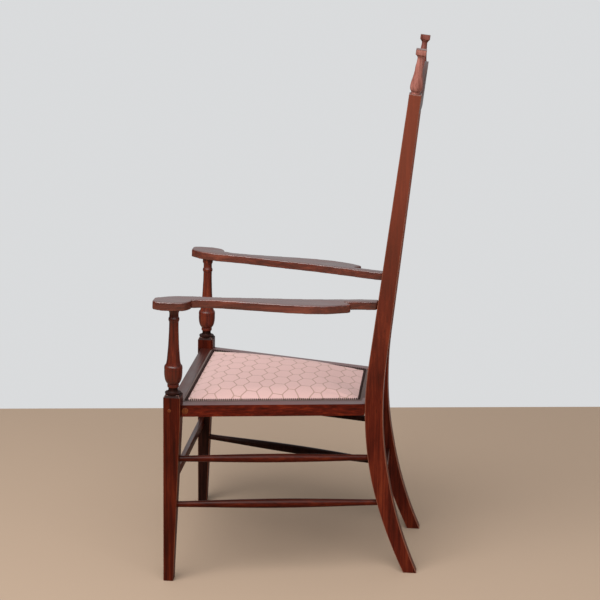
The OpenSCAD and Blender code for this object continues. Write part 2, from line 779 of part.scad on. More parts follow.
module screw_holes() {
    for (p = screw_places) along(p[0][0], p[0][1]) {
        translate([0, 0, -plug_h]) cylinder(d = p[1] + 2 * fit, h = 2 * plug_h + fit);
        cylinder(d = screw_head_d + 2 * fit, h = plug_h + screw_head_h + 2 * fit);
        cylinder(d = screw_d + 2 * fit, h = norm(p[0][1] - p[0][0]) + fit);
    }
}

module joint_screws() {
    color("darkgray") both_sides() for (p = screw_places) along(p[0][0], p[0][1]) {
        translate([0, 0, plug_h + fit]) cylinder(d = screw_head_d, h = screw_head_h);
        translate([0, 0, plug_h + over])
            cylinder(d = screw_d, h = norm(p[0][1] - p[0][0]) - plug_h - over);
    }
}

module screw_plugs() {
    color("peru") both_sides() for (p = screw_places) along(p[0][0], p[0][1])
        translate([0, 0, -plug_proud]) cylinder(d = p[1], h = plug_h + plug_proud);
}

// Upholstery in the rebate: webbing, hessian, stuffing, cover and gimp, from below
web_t = 1;
hessian_t = 0.6;
cover_t = 0.9;
layer_gap = 0.1;
web_margin = 2;
long_web_z = -rebate + layer_gap;
cross_web_z = long_web_z + web_t + layer_gap;
tack_head_h = 0.3;
hessian_z = cross_web_z + web_t + tack_head_h + layer_gap;
stuffing_z = hessian_z + hessian_t + layer_gap;
area_l = area_y1 - area_y0;

// Middle of a lengthwise strap at the front and at the back, and of a crosswise strap
front_pitch = web_w * 1.8;
rear_pitch = web_w * 1.08;
function long_x(i, pitch) = (i - (web_long_count - 1) / 2) * pitch;
function cross_y(i) = area_y0 + area_l * (i + 0.7) / (web_cross_count + 0.4);

// Two tacks through each end of each strap, their heads on the webbing
tack_d = 1.4;
tack_head_d = 6;
tack_l = 9;
tack_in = 10;
long_tacks = [for (i = [0:web_long_count - 1], side = [-1, 1]) each [
    [long_x(i, front_pitch) + side * web_w / 4, area_y0 + tack_in, long_web_z + web_t],
    [long_x(i, rear_pitch) + side * web_w / 4, area_y1 - tack_in, long_web_z + web_t]]];
cross_tacks = [for (i = [0:web_cross_count - 1], side = [-1, 1], hand = [-1, 1])
    let (y = cross_y(i) + side * web_w / 4) [hand * area_outer(y, tack_in), y, cross_web_z + web_t]];

module tack_holes() {
    on_seat() for (p = concat(long_tacks, cross_tacks)) translate([p[0], p[1], p[2] - tack_l - fit])
        cylinder(d = tack_d + 2 * fit, h = tack_l + over);
}

module webbing_tacks() {
    color("dimgray") on_seat() for (p = concat(long_tacks, cross_tacks)) translate(p) {
        cylinder(d = tack_head_d, h = tack_head_h);
        translate([0, 0, -tack_l]) cylinder(d = tack_d, h = tack_l + tack_head_h);
    }
}

module webbing_lengthwise() {
    color("wheat") difference() {
        on_seat() translate([0, 0, long_web_z]) linear_extrude(web_t) intersection() {
            polygon(seat_area(web_margin));
            for (i = [0:web_long_count - 1]) polygon([
                [long_x(i, front_pitch) - web_w / 2, area_y0], [long_x(i, front_pitch) + web_w / 2, area_y0],
                [long_x(i, rear_pitch) + web_w / 2, area_y1], [long_x(i, rear_pitch) - web_w / 2, area_y1]]);
        }
        tack_holes();
    }
}

module webbing_crosswise() {
    color("tan") difference() {
        on_seat() translate([0, 0, cross_web_z]) linear_extrude(web_t) intersection() {
            polygon(seat_area(web_margin));
            for (i = [0:web_cross_count - 1])
                translate([-leg_half, cross_y(i) - web_w / 2]) square([2 * leg_half, web_w]);
        }
        tack_holes();
    }
}

module hessian() {
    color("khaki") on_seat() translate([0, 0, hessian_z]) linear_extrude(hessian_t)
        polygon(seat_area(web_margin));
}

// The crowned stuffing and its cover share one grid: u runs across, v from front to back
grid_u = 20;
grid_v = 20;
function area_point(u, v, margin) = let (y = area_y0 + margin + (area_y1 - area_y0 - 2 * margin) * v)
    [(2 * u - 1) * area_outer(y, margin), y];
// Swell of the pad, steep at the edge and flat in the middle
swell_power = 0.34;
function swell(u, v) = pow(16 * u * (1 - u) * v * (1 - v), swell_power);

// A closed skin between two surfaces over the grid, given as heights by u and v
module crowned(margin, low, high) {
    n = (grid_u + 1) * (grid_v + 1);
    top = [for (j = [0:grid_v], i = [0:grid_u]) let (u = i / grid_u, v = j / grid_v,
        p = area_point(u, v, margin)) [p[0], p[1], high[0] + high[1] * swell(u, v)]];
    under = [for (j = [0:grid_v], i = [0:grid_u]) let (u = i / grid_u, v = j / grid_v,
        p = area_point(u, v, margin)) [p[0], p[1], low[0] + low[1] * swell(u, v)]];
    function at(i, j) = j * (grid_u + 1) + i;
    faces = concat(
        [for (j = [0:grid_v - 1], i = [0:grid_u - 1]) each [
            [at(i, j), at(i, j + 1), at(i + 1, j + 1)], [at(i, j), at(i + 1, j + 1), at(i + 1, j)]]],
        [for (j = [0:grid_v - 1], i = [0:grid_u - 1]) each [
            [n + at(i, j), n + at(i + 1, j + 1), n + at(i, j + 1)],
            [n + at(i, j), n + at(i + 1, j), n + at(i + 1, j + 1)]]],
        [for (i = [0:grid_u - 1]) each [
            [at(i, 0), at(i + 1, 0), n + at(i + 1, 0)], [at(i, 0), n + at(i + 1, 0), n + at(i, 0)]]],
        [for (i = [0:grid_u - 1]) each [
            [at(i + 1, grid_v), at(i, grid_v), n + at(i, grid_v)],
            [at(i + 1, grid_v), n + at(i, grid_v), n + at(i + 1, grid_v)]]],
        [for (j = [0:grid_v - 1]) each [
            [at(0, j + 1), at(0, j), n + at(0, j)], [at(0, j + 1), n + at(0, j), n + at(0, j + 1)]]],
        [for (j = [0:grid_v - 1]) each [
            [at(grid_u, j), at(grid_u, j + 1), n + at(grid_u, j + 1)],
            [at(grid_u, j), n + at(grid_u, j + 1), n + at(grid_u, j)]]]);
    polyhedron(points = concat(top, under), faces = faces);
}

stuffing_edge_t = 0.2;
stuffing_margin = gimp_w + 2;
stuffing_rise = crown - stuffing_z - stuffing_edge_t - cover_t - cloth_fit;

module seat_stuffing() {
    color("ivory") on_seat() crowned(stuffing_margin, [stuffing_z, 0],
        [stuffing_z + stuffing_edge_t, stuffing_rise]);
}

// The cover's rim lies flat under the gimp
module seat_cover() {
    rise = crown - stuffing_z - cover_t;
    color("rosybrown") on_seat() union() {
        crowned(gimp_w, [stuffing_z, rise], [stuffing_z + cover_t, rise]);
        translate([0, 0, stuffing_z]) linear_extrude(cover_t) difference() {
            polygon(seat_area(web_margin));
            polygon(seat_area(gimp_w + cloth_fit));
        }
    }
}

module gimp_braid() {
    color("palevioletred") on_seat() translate([0, 0, stuffing_z + cover_t + cloth_fit])
        linear_extrude(gimp_t) difference() {
            polygon(seat_area(cloth_fit));
            polygon(seat_area(gimp_w - cloth_fit));
        }
}

front_leg_left();
front_leg_right();
rear_post_left();
rear_post_right();
finial_left();
finial_right();
arm_left();
arm_right();
front_seat_rail();
rear_seat_rail();
side_seat_rail_left();
side_seat_rail_right();
front_stretcher();
rear_stretcher();
upper_side_stretcher_left();
upper_side_stretcher_right();
lower_side_stretcher_left();
lower_side_stretcher_right();
crest_rail();
lower_back_rail();
back_slats();
corner_blocks();
joint_screws();
screw_plugs();
webbing_lengthwise();
webbing_crosswise();
webbing_tacks();
hessian();
seat_stuffing();
seat_cover();
gimp_braid();
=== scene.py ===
import math

import bmesh
import bpy
from mathutils import Matrix, Vector


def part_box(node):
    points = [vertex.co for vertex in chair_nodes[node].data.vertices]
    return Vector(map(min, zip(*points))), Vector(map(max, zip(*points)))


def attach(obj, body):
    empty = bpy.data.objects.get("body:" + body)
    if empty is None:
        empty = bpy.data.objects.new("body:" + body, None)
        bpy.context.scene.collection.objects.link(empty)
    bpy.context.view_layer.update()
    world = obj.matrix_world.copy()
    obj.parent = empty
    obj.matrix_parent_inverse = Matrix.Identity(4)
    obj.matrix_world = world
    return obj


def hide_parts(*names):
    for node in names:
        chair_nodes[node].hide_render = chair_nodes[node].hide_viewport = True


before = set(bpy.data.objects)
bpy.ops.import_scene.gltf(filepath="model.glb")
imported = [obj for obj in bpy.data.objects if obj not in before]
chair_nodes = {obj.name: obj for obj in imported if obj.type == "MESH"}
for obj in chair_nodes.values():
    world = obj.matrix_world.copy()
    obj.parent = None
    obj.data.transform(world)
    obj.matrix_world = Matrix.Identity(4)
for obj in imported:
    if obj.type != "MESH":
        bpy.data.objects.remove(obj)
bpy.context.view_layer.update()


# Front legs. Each is one mahogany stick: a square tapered leg up to a chamfered block, then
# the turned support of the arm, with an urn, a collar, a swelling shaft and a bead.
# The rails and stretchers are let into the square part and the arm is pinned on its top.
leg_side = 0.039
foot_side = 0.023
leg_centre_x = 0.234
taper_height = 0.400
block_height = 0.460
chamfer_wide = 0.0045
chamfer_high = 0.006
leg_lean = math.tan(math.radians(0.95))
rail_top = 0.431
support_lean = math.radians(1.6)
arm_underside = 0.6655
support_length = arm_underside - block_height
collar_width = 0.042
leg_front_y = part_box("front_leg_left")[0].y
leg_axis_y = leg_front_y + block_height * leg_lean + leg_side / 2
leg_stops = [0.0, 0.06, 0.12, 0.2, 0.29, taper_height, rail_top, block_height - chamfer_high]
recess_share = 0.07
inward_slope = 0.1
sliver = 0.001
turning_sides = 64
fine_ease = 0.0012

cove_shares = [(0.015, 0.88), (0.017, 0.74), (0.024, 0.62), (0.037, 0.524), (0.066, 0.514)]
ring_shares = [(0.073, 0.583), (0.08, 0.633), (0.102, 0.638), (0.11, 0.607)]
urn_shares = [(0.114, 0.631), (0.127, 0.73), (0.139, 0.8), (0.161, 0.886), (0.185, 0.938),
              (0.209, 0.971), (0.238, 0.99), (0.268, 0.993)]
collar_shares = [(0.275, 0.967), (0.282, 0.99), (0.29, 1.0), (0.314, 0.981), (0.326, 0.943)]
shaft_shares = [(0.332, 0.848), (0.346, 0.807), (0.368, 0.755), (0.392, 0.719), (0.438, 0.679),
                (0.484, 0.645), (0.53, 0.607), (0.599, 0.571), (0.667, 0.545), (0.737, 0.519),
                (0.818, 0.51)]
bead_shares = [(0.83, 0.512), (0.837, 0.548), (0.847, 0.593), (0.866, 0.595), (0.877, 0.557),
               (0.883, 0.505), (0.925, 0.5), (0.937, 0.524), (0.949, 0.576), (0.961, 0.619)]


def smooth_line(points, pieces=6):
    """The points joined by one smooth curve, with that many pieces to each stretch."""
    line = []
    last = len(points) - 1
    for i in range(last):
        a, b = points[max(i - 1, 0)], points[i]
        c, d = points[i + 1], points[min(i + 2, last)]
        for k in range(pieces):
            t = k / pieces
            line.append(tuple(
                (2 * q + (r - p) * t + (2 * p - 5 * q + 4 * r - s) * t ** 2
                 + (3 * q - p - 3 * r + s) * t ** 3) / 2
                for p, q, r, s in zip(a, b, c, d)))
    return line + [tuple(points[last])]


def turn(mesh, profile, place, sides=turning_sides):
    """Adds a turned shape to the mesh: profile is (height, radius) pairs up the lathe's axis."""
    rings = []
    for height, radius in profile:
        ring = []
        for k in range(sides):
            angle = 2 * math.pi * k / sides
            ring.append(mesh.verts.new(
                place @ Vector((radius * math.cos(angle), radius * math.sin(angle), height))))
        rings.append(ring)
    for low, high in zip(rings, rings[1:]):
        for k in range(sides):
            n = (k + 1) % sides
            mesh.faces.new((low[k], low[n], high[n], high[k]))
    mesh.faces.new(list(reversed(rings[0])))
    mesh.faces.new(rings[-1])


def stack(mesh, outlines):
    """Adds a closed shape through a list of outlines that all have the same number of points."""
    rings = [[mesh.verts.new(p) for p in outline] for outline in outlines]
    count = len(rings[0])
    for low, high in zip(rings, rings[1:]):
        for k in range(count):
            n = (k + 1) % count
            mesh.faces.new((low[k], low[n], high[n], high[k]))
    mesh.faces.new(list(reversed(rings[0])))
    mesh.faces.new(rings[-1])


def make_piece(name, mesh, materials, node=None, crease=35):
    """Turns a bmesh into a piece of the chair that stands for a node and rides on the chair."""
    bmesh.ops.recalc_face_normals(mesh, faces=mesh.faces)
    data = bpy.data.meshes.new(name)
    mesh.to_mesh(data)
    mesh.free()
    for material in materials:
        data.materials.append(material)
    for face in data.polygons:
        face.use_smooth = True
    data.set_sharp_from_angle(angle=math.radians(crease))
    piece = bpy.data.objects.new(name, data)
    bpy.context.scene.collection.objects.link(piece)
    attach(piece, "root")
    if node:
        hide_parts(node)
    return piece


def move_right(*pieces):
    """Mirrors pieces that were made for the left side over to the right."""
    for piece in pieces:
        piece.data.transform(Matrix.Scale(-1, 4, (1, 0, 0)))
        piece.data.flip_normals()


def ease_arrises(piece, width=fine_ease, segments=3, angle=40):
    """Rounds the piece's arrises, and gives them the material in its second place: worn wood with a
    painted highlight.
    """
    bevel = piece.modifiers.new("eased arrises", "BEVEL")
    bevel.width = width
    bevel.segments = segments
    bevel.limit_method = "ANGLE"
    bevel.angle_limit = math.radians(angle)
    bevel.harden_normals = True
    bevel.material = 1


def new_material(name):
    """A material made of nodes, with its tree and its shader."""
    made = bpy.data.materials.new(name)
    made.use_nodes = True
    return made, made.node_tree, made.node_tree.nodes["Principled BSDF"]


def link(tree, a, b):
    tree.links.new(a, b)


def add(tree, kind, **values):
    """Adds a shader node and sets its inputs and properties by name."""
    made = tree.nodes.new("ShaderNode" + kind)
    for key, value in values.items():
        if key in made.inputs:
            made.inputs[key].default_value = value
        else:
            setattr(made, key, value)
    return made


def calc(tree, operation, *values):
    """One Math node, from numbers and outputs of other nodes."""
    made = add(tree, "Math", operation=operation)
    for socket, value in zip(made.inputs, values):
        if isinstance(value, (int, float)):
            socket.default_value = value
        else:
            link(tree, value, socket)
    return made.outputs[0]


def mixed(tree, share, first, second):
    """A colour between two, which may be outputs or plain colours, by a share from 0 to 1."""
    made = add(tree, "Mix", data_type="RGBA")
    for socket, value in ((made.inputs[0], share), (made.inputs[6], first), (made.inputs[7], second)):
        if isinstance(value, tuple):
            socket.default_value = (*value, 1)
        elif isinstance(value, (int, float)):
            socket.default_value = value
        else:
            link(tree, value, socket)
    return made.outputs[2]


def spread(tree, source, from_low, from_high, to_low, to_high):
    """Carries a value from one range over to another, and holds it at both ends."""
    made = add(tree, "MapRange", **{"From Min": from_low, "From Max": from_high,
                                    "To Min": to_low, "To Max": to_high})
    link(tree, source, made.inputs["Value"])
    return made.outputs["Result"]


def parts_of(tree, source):
    """The three parts of a place or a direction."""
    made = add(tree, "SeparateXYZ")
    link(tree, source, made.inputs["Vector"])
    return made.outputs["X"], made.outputs["Y"], made.outputs["Z"]


def ramp(tree, source, stops):
    """A colour ramp over a value: stops are (place, colour)."""
    made = tree.nodes.new("ShaderNodeValToRGB")
    while len(made.color_ramp.elements) > 1:
        made.color_ramp.elements.remove(made.color_ramp.elements[-1])
    made.color_ramp.elements[0].position = stops[0][0]
    made.color_ramp.elements[0].color = (*stops[0][1], 1)
    for place, colour in stops[1:]:
        made.color_ramp.elements.new(place).color = (*colour, 1)
    link(tree, source, made.inputs["Fac"])
    return made.outputs["Color"]


def mahogany(name, grain="Z", dark=(0.030, 0.0045, 0.002), mid=(0.078, 0.0095, 0.003),
             light=(0.155, 0.024, 0.006), polish=0.34, seed=0.0, painted_light_up=None, sheen=(0.10, 0.9),
             painted_top_tone=(0.018, 0.004, 0.0025)):
    """French-polished mahogany: streaks along the grain, pores and cloudy stain. Sheen is for upright
    faces and for faces that look up, and is cut on faces that look back: painted sheen and shade.
    Painted top tone is a painted reflection mixed into faces that look up. Painted light up is
    (low, high, colour), that colour mixed in towards the top of the piece as painted light."""
    wood, tree, shader = new_material(name)
    place = add(tree, "TexCoord").outputs["Object"]
    along = "XYZ".index(grain)

    def stretched(across, lengthwise, detail):
        scale = [across] * 3
        scale[along] = lengthwise
        turn_grain = add(tree, "Mapping", Scale=scale, Location=(seed, seed * 1.7, seed * 0.6))
        link(tree, place, turn_grain.inputs["Vector"])
        pattern = add(tree, "TexNoise", Scale=1.0, Detail=detail, Roughness=0.55)
        link(tree, turn_grain.outputs["Vector"], pattern.inputs["Vector"])
        return pattern.outputs["Fac"]

    streaks = stretched(210.0, 7.0, 5.0)
    clouds = stretched(26.0, 7.0, 3.0)
    pores = stretched(1100.0, 45.0, 2.0)
    both = add(tree, "Mix", data_type="FLOAT", Factor=0.45)
    link(tree, streaks, both.inputs["A"])
    link(tree, clouds, both.inputs["B"])
    tone = ramp(tree, both.outputs["Result"], [(0.36, dark), (0.52, mid), (0.68, light)])
    pore_mask = ramp(tree, pores, [(0.60, (0, 0, 0)), (0.72, (1, 1, 1))])
    colour = mixed(tree, pore_mask, tone, tuple(part * 0.4 for part in dark))
    # Painted light: the colour turns lighter towards the top of the piece.
    if painted_light_up:
        low, high, lit_colour = painted_light_up
        up = parts_of(tree, place)[2]
        colour = mixed(tree, spread(tree, up, low, high, 0.0, 0.7), colour, lit_colour)
    facing = add(tree, "NewGeometry").outputs["Normal"]
    _, rearward, upward = parts_of(tree, facing)
    # Painted reflection: faces that look up take the painted top tone, standing in for the pale room
    # they mirror.
    painted_top_share = spread(tree, upward, 0.3, 0.9, 0.0, 0.6)
    link(tree, mixed(tree, painted_top_share, colour, painted_top_tone), shader.inputs["Base Color"])
    dull = spread(tree, clouds, 0.3, 0.7, polish - 0.06, polish + 0.1)
    link(tree, dull, shader.inputs["Roughness"])
    bump = add(tree, "Bump", Strength=0.12, Distance=0.0004)
    link(tree, streaks, bump.inputs["Height"])
    link(tree, bump.outputs["Normal"], shader.inputs["Normal"])
    # Painted sheen and shade: the reflection is set by which way a face looks, and is cut on faces
    # that look back.
    level = spread(tree, upward, 0.2, 0.8, *sheen)
    behind = spread(tree, rearward, 0.6, 0.9, 1.0, 0.3)
    link(tree, calc(tree, "MULTIPLY", level, behind), shader.inputs["Specular IOR Level"])
    shader.inputs["IOR"].default_value = 1.5
    return wood


# Arris wood: lighter than the body, partly wear and partly painted highlight.
worn_and_lit_upright = mahogany("worn mahogany upright with painted highlight", "Z", (0.08, 0.018, 0.008), (0.14, 0.036, 0.015),
                        (0.22, 0.065, 0.028), 0.3, sheen=(0.2, 0.4))


def leg_side_at(height):
    return foot_side + (leg_side - foot_side) * min(height, taper_height) / taper_height


def leg_front_at(height):
    return leg_axis_y + (height - block_height) * leg_lean - leg_side / 2


def leg_outline(height):
    """The leg's square at a height: its outer and front faces are straight, the others taper."""
    side, front = leg_side_at(height), leg_front_at(height)
    outer = leg_centre_x + leg_side / 2
    return [Vector((outer - side, front, height)), Vector((outer, front, height)),
            Vector((outer, front + side, height)), Vector((outer - side, front + side, height))]


def inset(outline, amount):
    """The outline drawn in towards its middle by an amount on each side."""
    middle = sum(outline, Vector()) / len(outline)
    moved = []
    for p in outline:
        away = p - middle
        moved.append(middle + Vector((away.x - math.copysign(amount, away.x),
                                      away.y - math.copysign(amount, away.y), away.z)))
    return moved


def darken(piece, place, low=0.0, high=10.0, inward=False):
    """Gives the faces between two heights the piece's material at that place: all of them, or
    only those that look in under the seat, where the seat's shadow falls, as painted shade."""
    for face in piece.data.polygons:
        top = max(piece.data.vertices[i].co.z for i in face.vertices)
        looks_in = face.normal.x * face.center.x < -inward_slope * abs(face.center.x)
        if low < face.center.z < high and top > low + sliver and (looks_in or not inward):
            face.material_index = place


leg_wood = mahogany("mahogany legs", "Z", (0.024, 0.003, 0.0014), (0.058, 0.006, 0.002),
                    (0.115, 0.015, 0.004), seed=1.3)
support_wood = mahogany("mahogany supports", "Z", (0.038, 0.006, 0.003), (0.098, 0.013, 0.005),
                        (0.19, 0.032, 0.010), seed=2.7, sheen=(0.3, 0.4))
# Grime and painted shade: near-black wood for the hollow at the foot of each turning, partly old
# polish and grime there, and painted shade on the block tops and under the seat.
grime_and_shade_wood = mahogany("mahogany darkened by grime and painted shade", "Z", (0.008, 0.003, 0.002),
                       (0.019, 0.006, 0.004), (0.042, 0.012, 0.008), 0.5, sheen=(0.05, 0.10))
support_profile = [(support_length * h, collar_width / 2 * w) for h, w in
                   [(0, 0.88)] + smooth_line(cove_shares) + ring_shares + smooth_line(urn_shares)
                   + collar_shares + smooth_line(shaft_shares) + bead_shares + [(0.999, 0.619)]]

for hand in ("left", "right"):
    mesh = bmesh.new()
    top = [p + Vector((0, 0, chamfer_high))
           for p in inset(leg_outline(leg_stops[-1]), chamfer_wide)]
    stack(mesh, [leg_outline(h) for h in leg_stops] + [top])
    square = make_piece("front_leg_" + hand + "_square", mesh, [leg_wood, worn_and_lit_upright, grime_and_shade_wood],
                        "front_leg_" + hand)
    # Painted shade: the block's chamfered top under the turning, and the faces that look in under the
    # seat, get the darkened wood.
    darken(square, 2, low=leg_stops[-1])
    darken(square, 2, high=rail_top, inward=True)
    ease_arrises(square)
    mesh = bmesh.new()
    turn(mesh, support_profile,
         Matrix.Translation((leg_centre_x, leg_axis_y, block_height))
         @ Matrix.Rotation(-support_lean, 4, "X"))
    turned = make_piece("front_leg_" + hand + "_turned", mesh, [support_wood, grime_and_shade_wood],
                        "front_leg_" + hand, crease=48)
    # Grime and painted shade in the hollow at the foot of the turning.
    darken(turned, 1, high=block_height + support_length * recess_share)
    if hand == "right":
        move_right(square, turned)


# Rear posts. Each is one mahogany stick, sawn to a swept foot below the seat and raked and
# splayed above it, tapering to the top. All the rails are tenoned into the two posts.
post_depth_seat = 0.042
post_depth_top = 0.027
post_depth_foot = 0.032
post_thick_seat = 0.034
post_thick_top = 0.025
post_thick_foot = 0.0255
post_centre_x = 0.1275
post_top = 1.146
post_rake = math.tan(math.radians(6.58))
post_splay = math.tan(math.radians(3.43))
post_stub = 0.02
post_ease = 0.0016
foot_pieces = 24
upper_pieces = 8
knee_height = 0.513
full_depth_height = knee_height * 0.46
foot_sweep = 0.1465
sweep_power = 1.98
leg_spacing = 0.4552
seat_tilt = math.radians(1.4)
seat_line = rail_top - leg_spacing * math.tan(seat_tilt)
post_seat_y = leg_axis_y + leg_spacing


def sweep_at(height):
    """How far the post has swept back at a height below the knee."""
    share = max(0.0, (knee_height - height) / knee_height)
    return foot_sweep * share ** sweep_power


def post_y(height):
    return post_seat_y + (height - seat_line) * post_rake + sweep_at(height) - sweep_at(seat_line)


def post_size(height, foot, seat, top, full_height):
    """A size that grows from the foot to its full height, stays, and tapers above the seat."""
    if height < full_height:
        return foot + (seat - foot) * height / full_height
    if height < seat_line:
        return seat
    return seat + (top - seat) * (height - seat_line) / (post_top - seat_line)


def post_depth(height):
    return post_size(height, post_depth_foot, post_depth_seat, post_depth_top, full_depth_height)


def post_thick(height):
    return post_size(height, post_thick_foot, post_thick_seat, post_thick_top, seat_line)


def post_x(height):
    if height < seat_line:
        return post_centre_x + (post_thick_seat - post_thick(height)) / 2
    return post_centre_x + (height - seat_line) * post_splay


def post_outline(height, tilt=0.0):
    """The post's section at a height, level or tilted to be square to the raked post."""
    x, y = post_x(height), post_y(height)
    half_x, half_y = post_thick(height) / 2, post_depth(height) / 2
    corners = [(-half_x, -half_y), (half_x, -half_y), (half_x, half_y), (-half_x, half_y)]
    return [Vector((x + dx, y + dy, height - dy * tilt * post_rake - dx * tilt * post_splay))
            for dx, dy in corners]


# Painted light: the posts' wood, also used for the slats, turns lighter towards the top, where the
# light falls more strongly.
post_wood = mahogany("mahogany posts", "Z", (0.032, 0.004, 0.002), (0.082, 0.0095, 0.004),
                     (0.16, 0.025, 0.009), seed=4.1, painted_light_up=(0.42, 1.05, (0.20, 0.055, 0.032)))
# The posts' arrises: lighter and strongly reflecting, partly wear and partly painted highlight.
worn_and_lit_post = mahogany("worn mahogany post with painted highlight", "Z", (0.11, 0.026, 0.012), (0.20, 0.05, 0.022),
                     (0.30, 0.09, 0.04), 0.3, sheen=(0.9, 0.9))
foot_stops = [knee_height * k / foot_pieces for k in range(foot_pieces + 1)]
upper_stops = [knee_height + (post_top - post_stub - knee_height) * k / upper_pieces
               for k in range(1, upper_pieces + 1)]
for hand in ("left", "right"):
    mesh = bmesh.new()
    stack(mesh, [post_outline(h) for h in foot_stops + upper_stops] + [post_outline(post_top, 1.0)])
    post = make_piece("rear_post_" + hand, mesh, [post_wood, worn_and_lit_post], "rear_post_" + hand)
    ease_arrises(post, post_ease)
    if hand == "right":
        move_right(post)


# Finials. Each is mahogany, with a turned cove, a slender vase and a square cap, and is dowelled
# into its post's top. Both are lighter than the posts, and the left one, nearer the light, is
# lighter still: painted light.
finial_height = 0.0975
cap_side = 0.023
cap_thick = 0.0125
cap_chamfer_wide = 0.001
cap_chamfer_high = 0.0015
cap_ease = 0.0009
vase_width = 0.028
finial_foot_shares = [(0.002, 0.77), (0.02, 0.73), (0.045, 0.74), (0.06, 0.8)]
vase_shares = [(0.065, 0.84), (0.09, 0.93), (0.13, 0.99), (0.17, 1.0), (0.24, 0.955), (0.32, 0.85),
               (0.41, 0.72), (0.5, 0.64), (0.6, 0.575), (0.7, 0.51), (0.77, 0.47), (0.82, 0.5),
               (0.865, 0.72), (0.875, 0.74)]
finial_wood = mahogany("mahogany finials", "Z", (0.085, 0.025, 0.019), (0.17, 0.054, 0.042),
                       (0.27, 0.105, 0.085), seed=7.7)
# Painted light: a lighter copy of the finials' wood for the left finial, which stands nearer the
# light.
lit_finial_wood = mahogany("mahogany finial with painted light", "Z", (0.17, 0.058, 0.045),
                           (0.32, 0.125, 0.10), (0.46, 0.22, 0.185), seed=7.1)
tilt_back = math.atan(post_rake * math.cos(math.atan(post_splay)))
place = (Matrix.Translation((post_x(post_top), post_y(post_top), post_top))
         @ Matrix.Rotation(math.atan(post_splay), 4, "Y") @ Matrix.Rotation(-tilt_back, 4, "X"))
cap_base = finial_height - cap_thick
for hand, vase_wood in (("left", lit_finial_wood), ("right", finial_wood)):
    mesh = bmesh.new()
    turn(mesh, [(finial_height * h, vase_width / 2 * w)
                for h, w in finial_foot_shares + smooth_line(vase_shares)], place)
    turned = make_piece("finial_" + hand + "_vase", mesh, [vase_wood, worn_and_lit_upright],
                        "finial_" + hand, crease=50)
    mesh = bmesh.new()
    outlines = []
    for height, half in ((cap_base, cap_side / 2 - cap_chamfer_wide),
                         (cap_base + cap_chamfer_high, cap_side / 2),
                         (finial_height, cap_side / 2)):
        outlines.append([place @ Vector((half * a, half * b, height))
                         for a, b in ((-1, -1), (1, -1), (1, 1), (-1, 1))])
    stack(mesh, outlines)
    cap = make_piece("finial_" + hand + "_cap", mesh, [vase_wood, worn_and_lit_upright], "finial_" + hand)
    ease_arrises(cap, cap_ease)
    if hand == "right":
        move_right(turned, cap)


# Flat stretchers. A plain mahogany bar between the front legs and one between the rear legs,
# tenoned at both ends.
def paint_node(name, materials):
    """Keeps a node's own shape, joins its faces' corners and gives it its materials."""
    piece = chair_nodes[name]
    piece.data.materials.clear()
    for material in materials:
        piece.data.materials.append(material)
    for face in piece.data.polygons:
        face.material_index = 0
        face.use_smooth = True
    piece.data.set_sharp_from_angle(angle=math.radians(30))
    joined = piece.modifiers.new("corners joined", "WELD")
    joined.merge_threshold = 0.00001
    return piece


def dress_node(name, materials, ease=fine_ease, segments=3):
    """Keeps a node's own shape, eases its arrises and gives it its materials."""
    piece = paint_node(name, materials)
    flat = piece.modifiers.new("flat faces joined", "DECIMATE")
    flat.decimate_type = "DISSOLVE"
    flat.angle_limit = math.radians(0.5)
    ease_arrises(piece, ease, segments)


# Arris tones: lighter, partly wear and partly painted highlight.
worn_and_lit_tones = ((0.10, 0.024, 0.010), (0.19, 0.050, 0.020), (0.30, 0.09, 0.04))
cross_wood = mahogany("mahogany crosswise", "X", seed=2.2)
worn_and_lit_cross = mahogany("worn mahogany crosswise with painted highlight", "X", *worn_and_lit_tones, polish=0.3)
dress_node("front_stretcher", [cross_wood, worn_and_lit_cross])
dress_node("rear_stretcher", [cross_wood, worn_and_lit_cross])


# Side stretchers. Four turned mahogany rungs, slender at their ends and fuller in the middle,
# glued into round sockets in the legs and posts.
rung_end = 0.014
rung_power = 1.4
rung_pieces = 32
rung_sides = 32
rung_in_of_leg = 0.0015
rung_out_of_post = 0.001
socket_depth = 0.015
rung_wood = mahogany("mahogany rungs", "Y", (0.026, 0.0035, 0.0016), (0.066, 0.0075, 0.0024),
                     (0.13, 0.019, 0.005), seed=3.4, sheen=(0.08, 0.16))
for level, front_height, rear_height, rung_middle in (("upper", 0.2995, 0.284, 0.0205),
                                                      ("lower", 0.186, 0.172, 0.022)):
    for hand, side in (("left", 1), ("right", -1)):
        leg_back = leg_front_at(front_height) + leg_side_at(front_height)
        post_front = post_y(rear_height) - post_depth(rear_height) / 2
        start = Vector((side * (leg_centre_x - rung_in_of_leg), leg_back - socket_depth,
                        front_height))
        end = Vector((side * (post_centre_x + rung_out_of_post), post_front + socket_depth,
                      rear_height))
        length = (end - start).length
        free = length - 2 * socket_depth
        profile = [(0, rung_end / 2)]
        for k in range(rung_pieces + 1):
            share = k / rung_pieces
            swell = max(math.sin(math.pi * share), 0.0) ** rung_power
            profile.append((socket_depth + free * share,
                            (rung_end + (rung_middle - rung_end) * swell) / 2))
        profile.append((length, rung_end / 2))
        mesh = bmesh.new()
        turn(mesh, profile,
             Matrix.Translation(start) @ (end - start).to_track_quat("Z", "Y").to_matrix().to_4x4(),
             sides=rung_sides)
        rung = make_piece(level + "_side_rung_" + hand, mesh, [rung_wood, grime_and_shade_wood],
                          level + "_side_stretcher_" + hand)
        # Painted shade on the faces that look in under the seat.
        darken(rung, 1, inward=True)


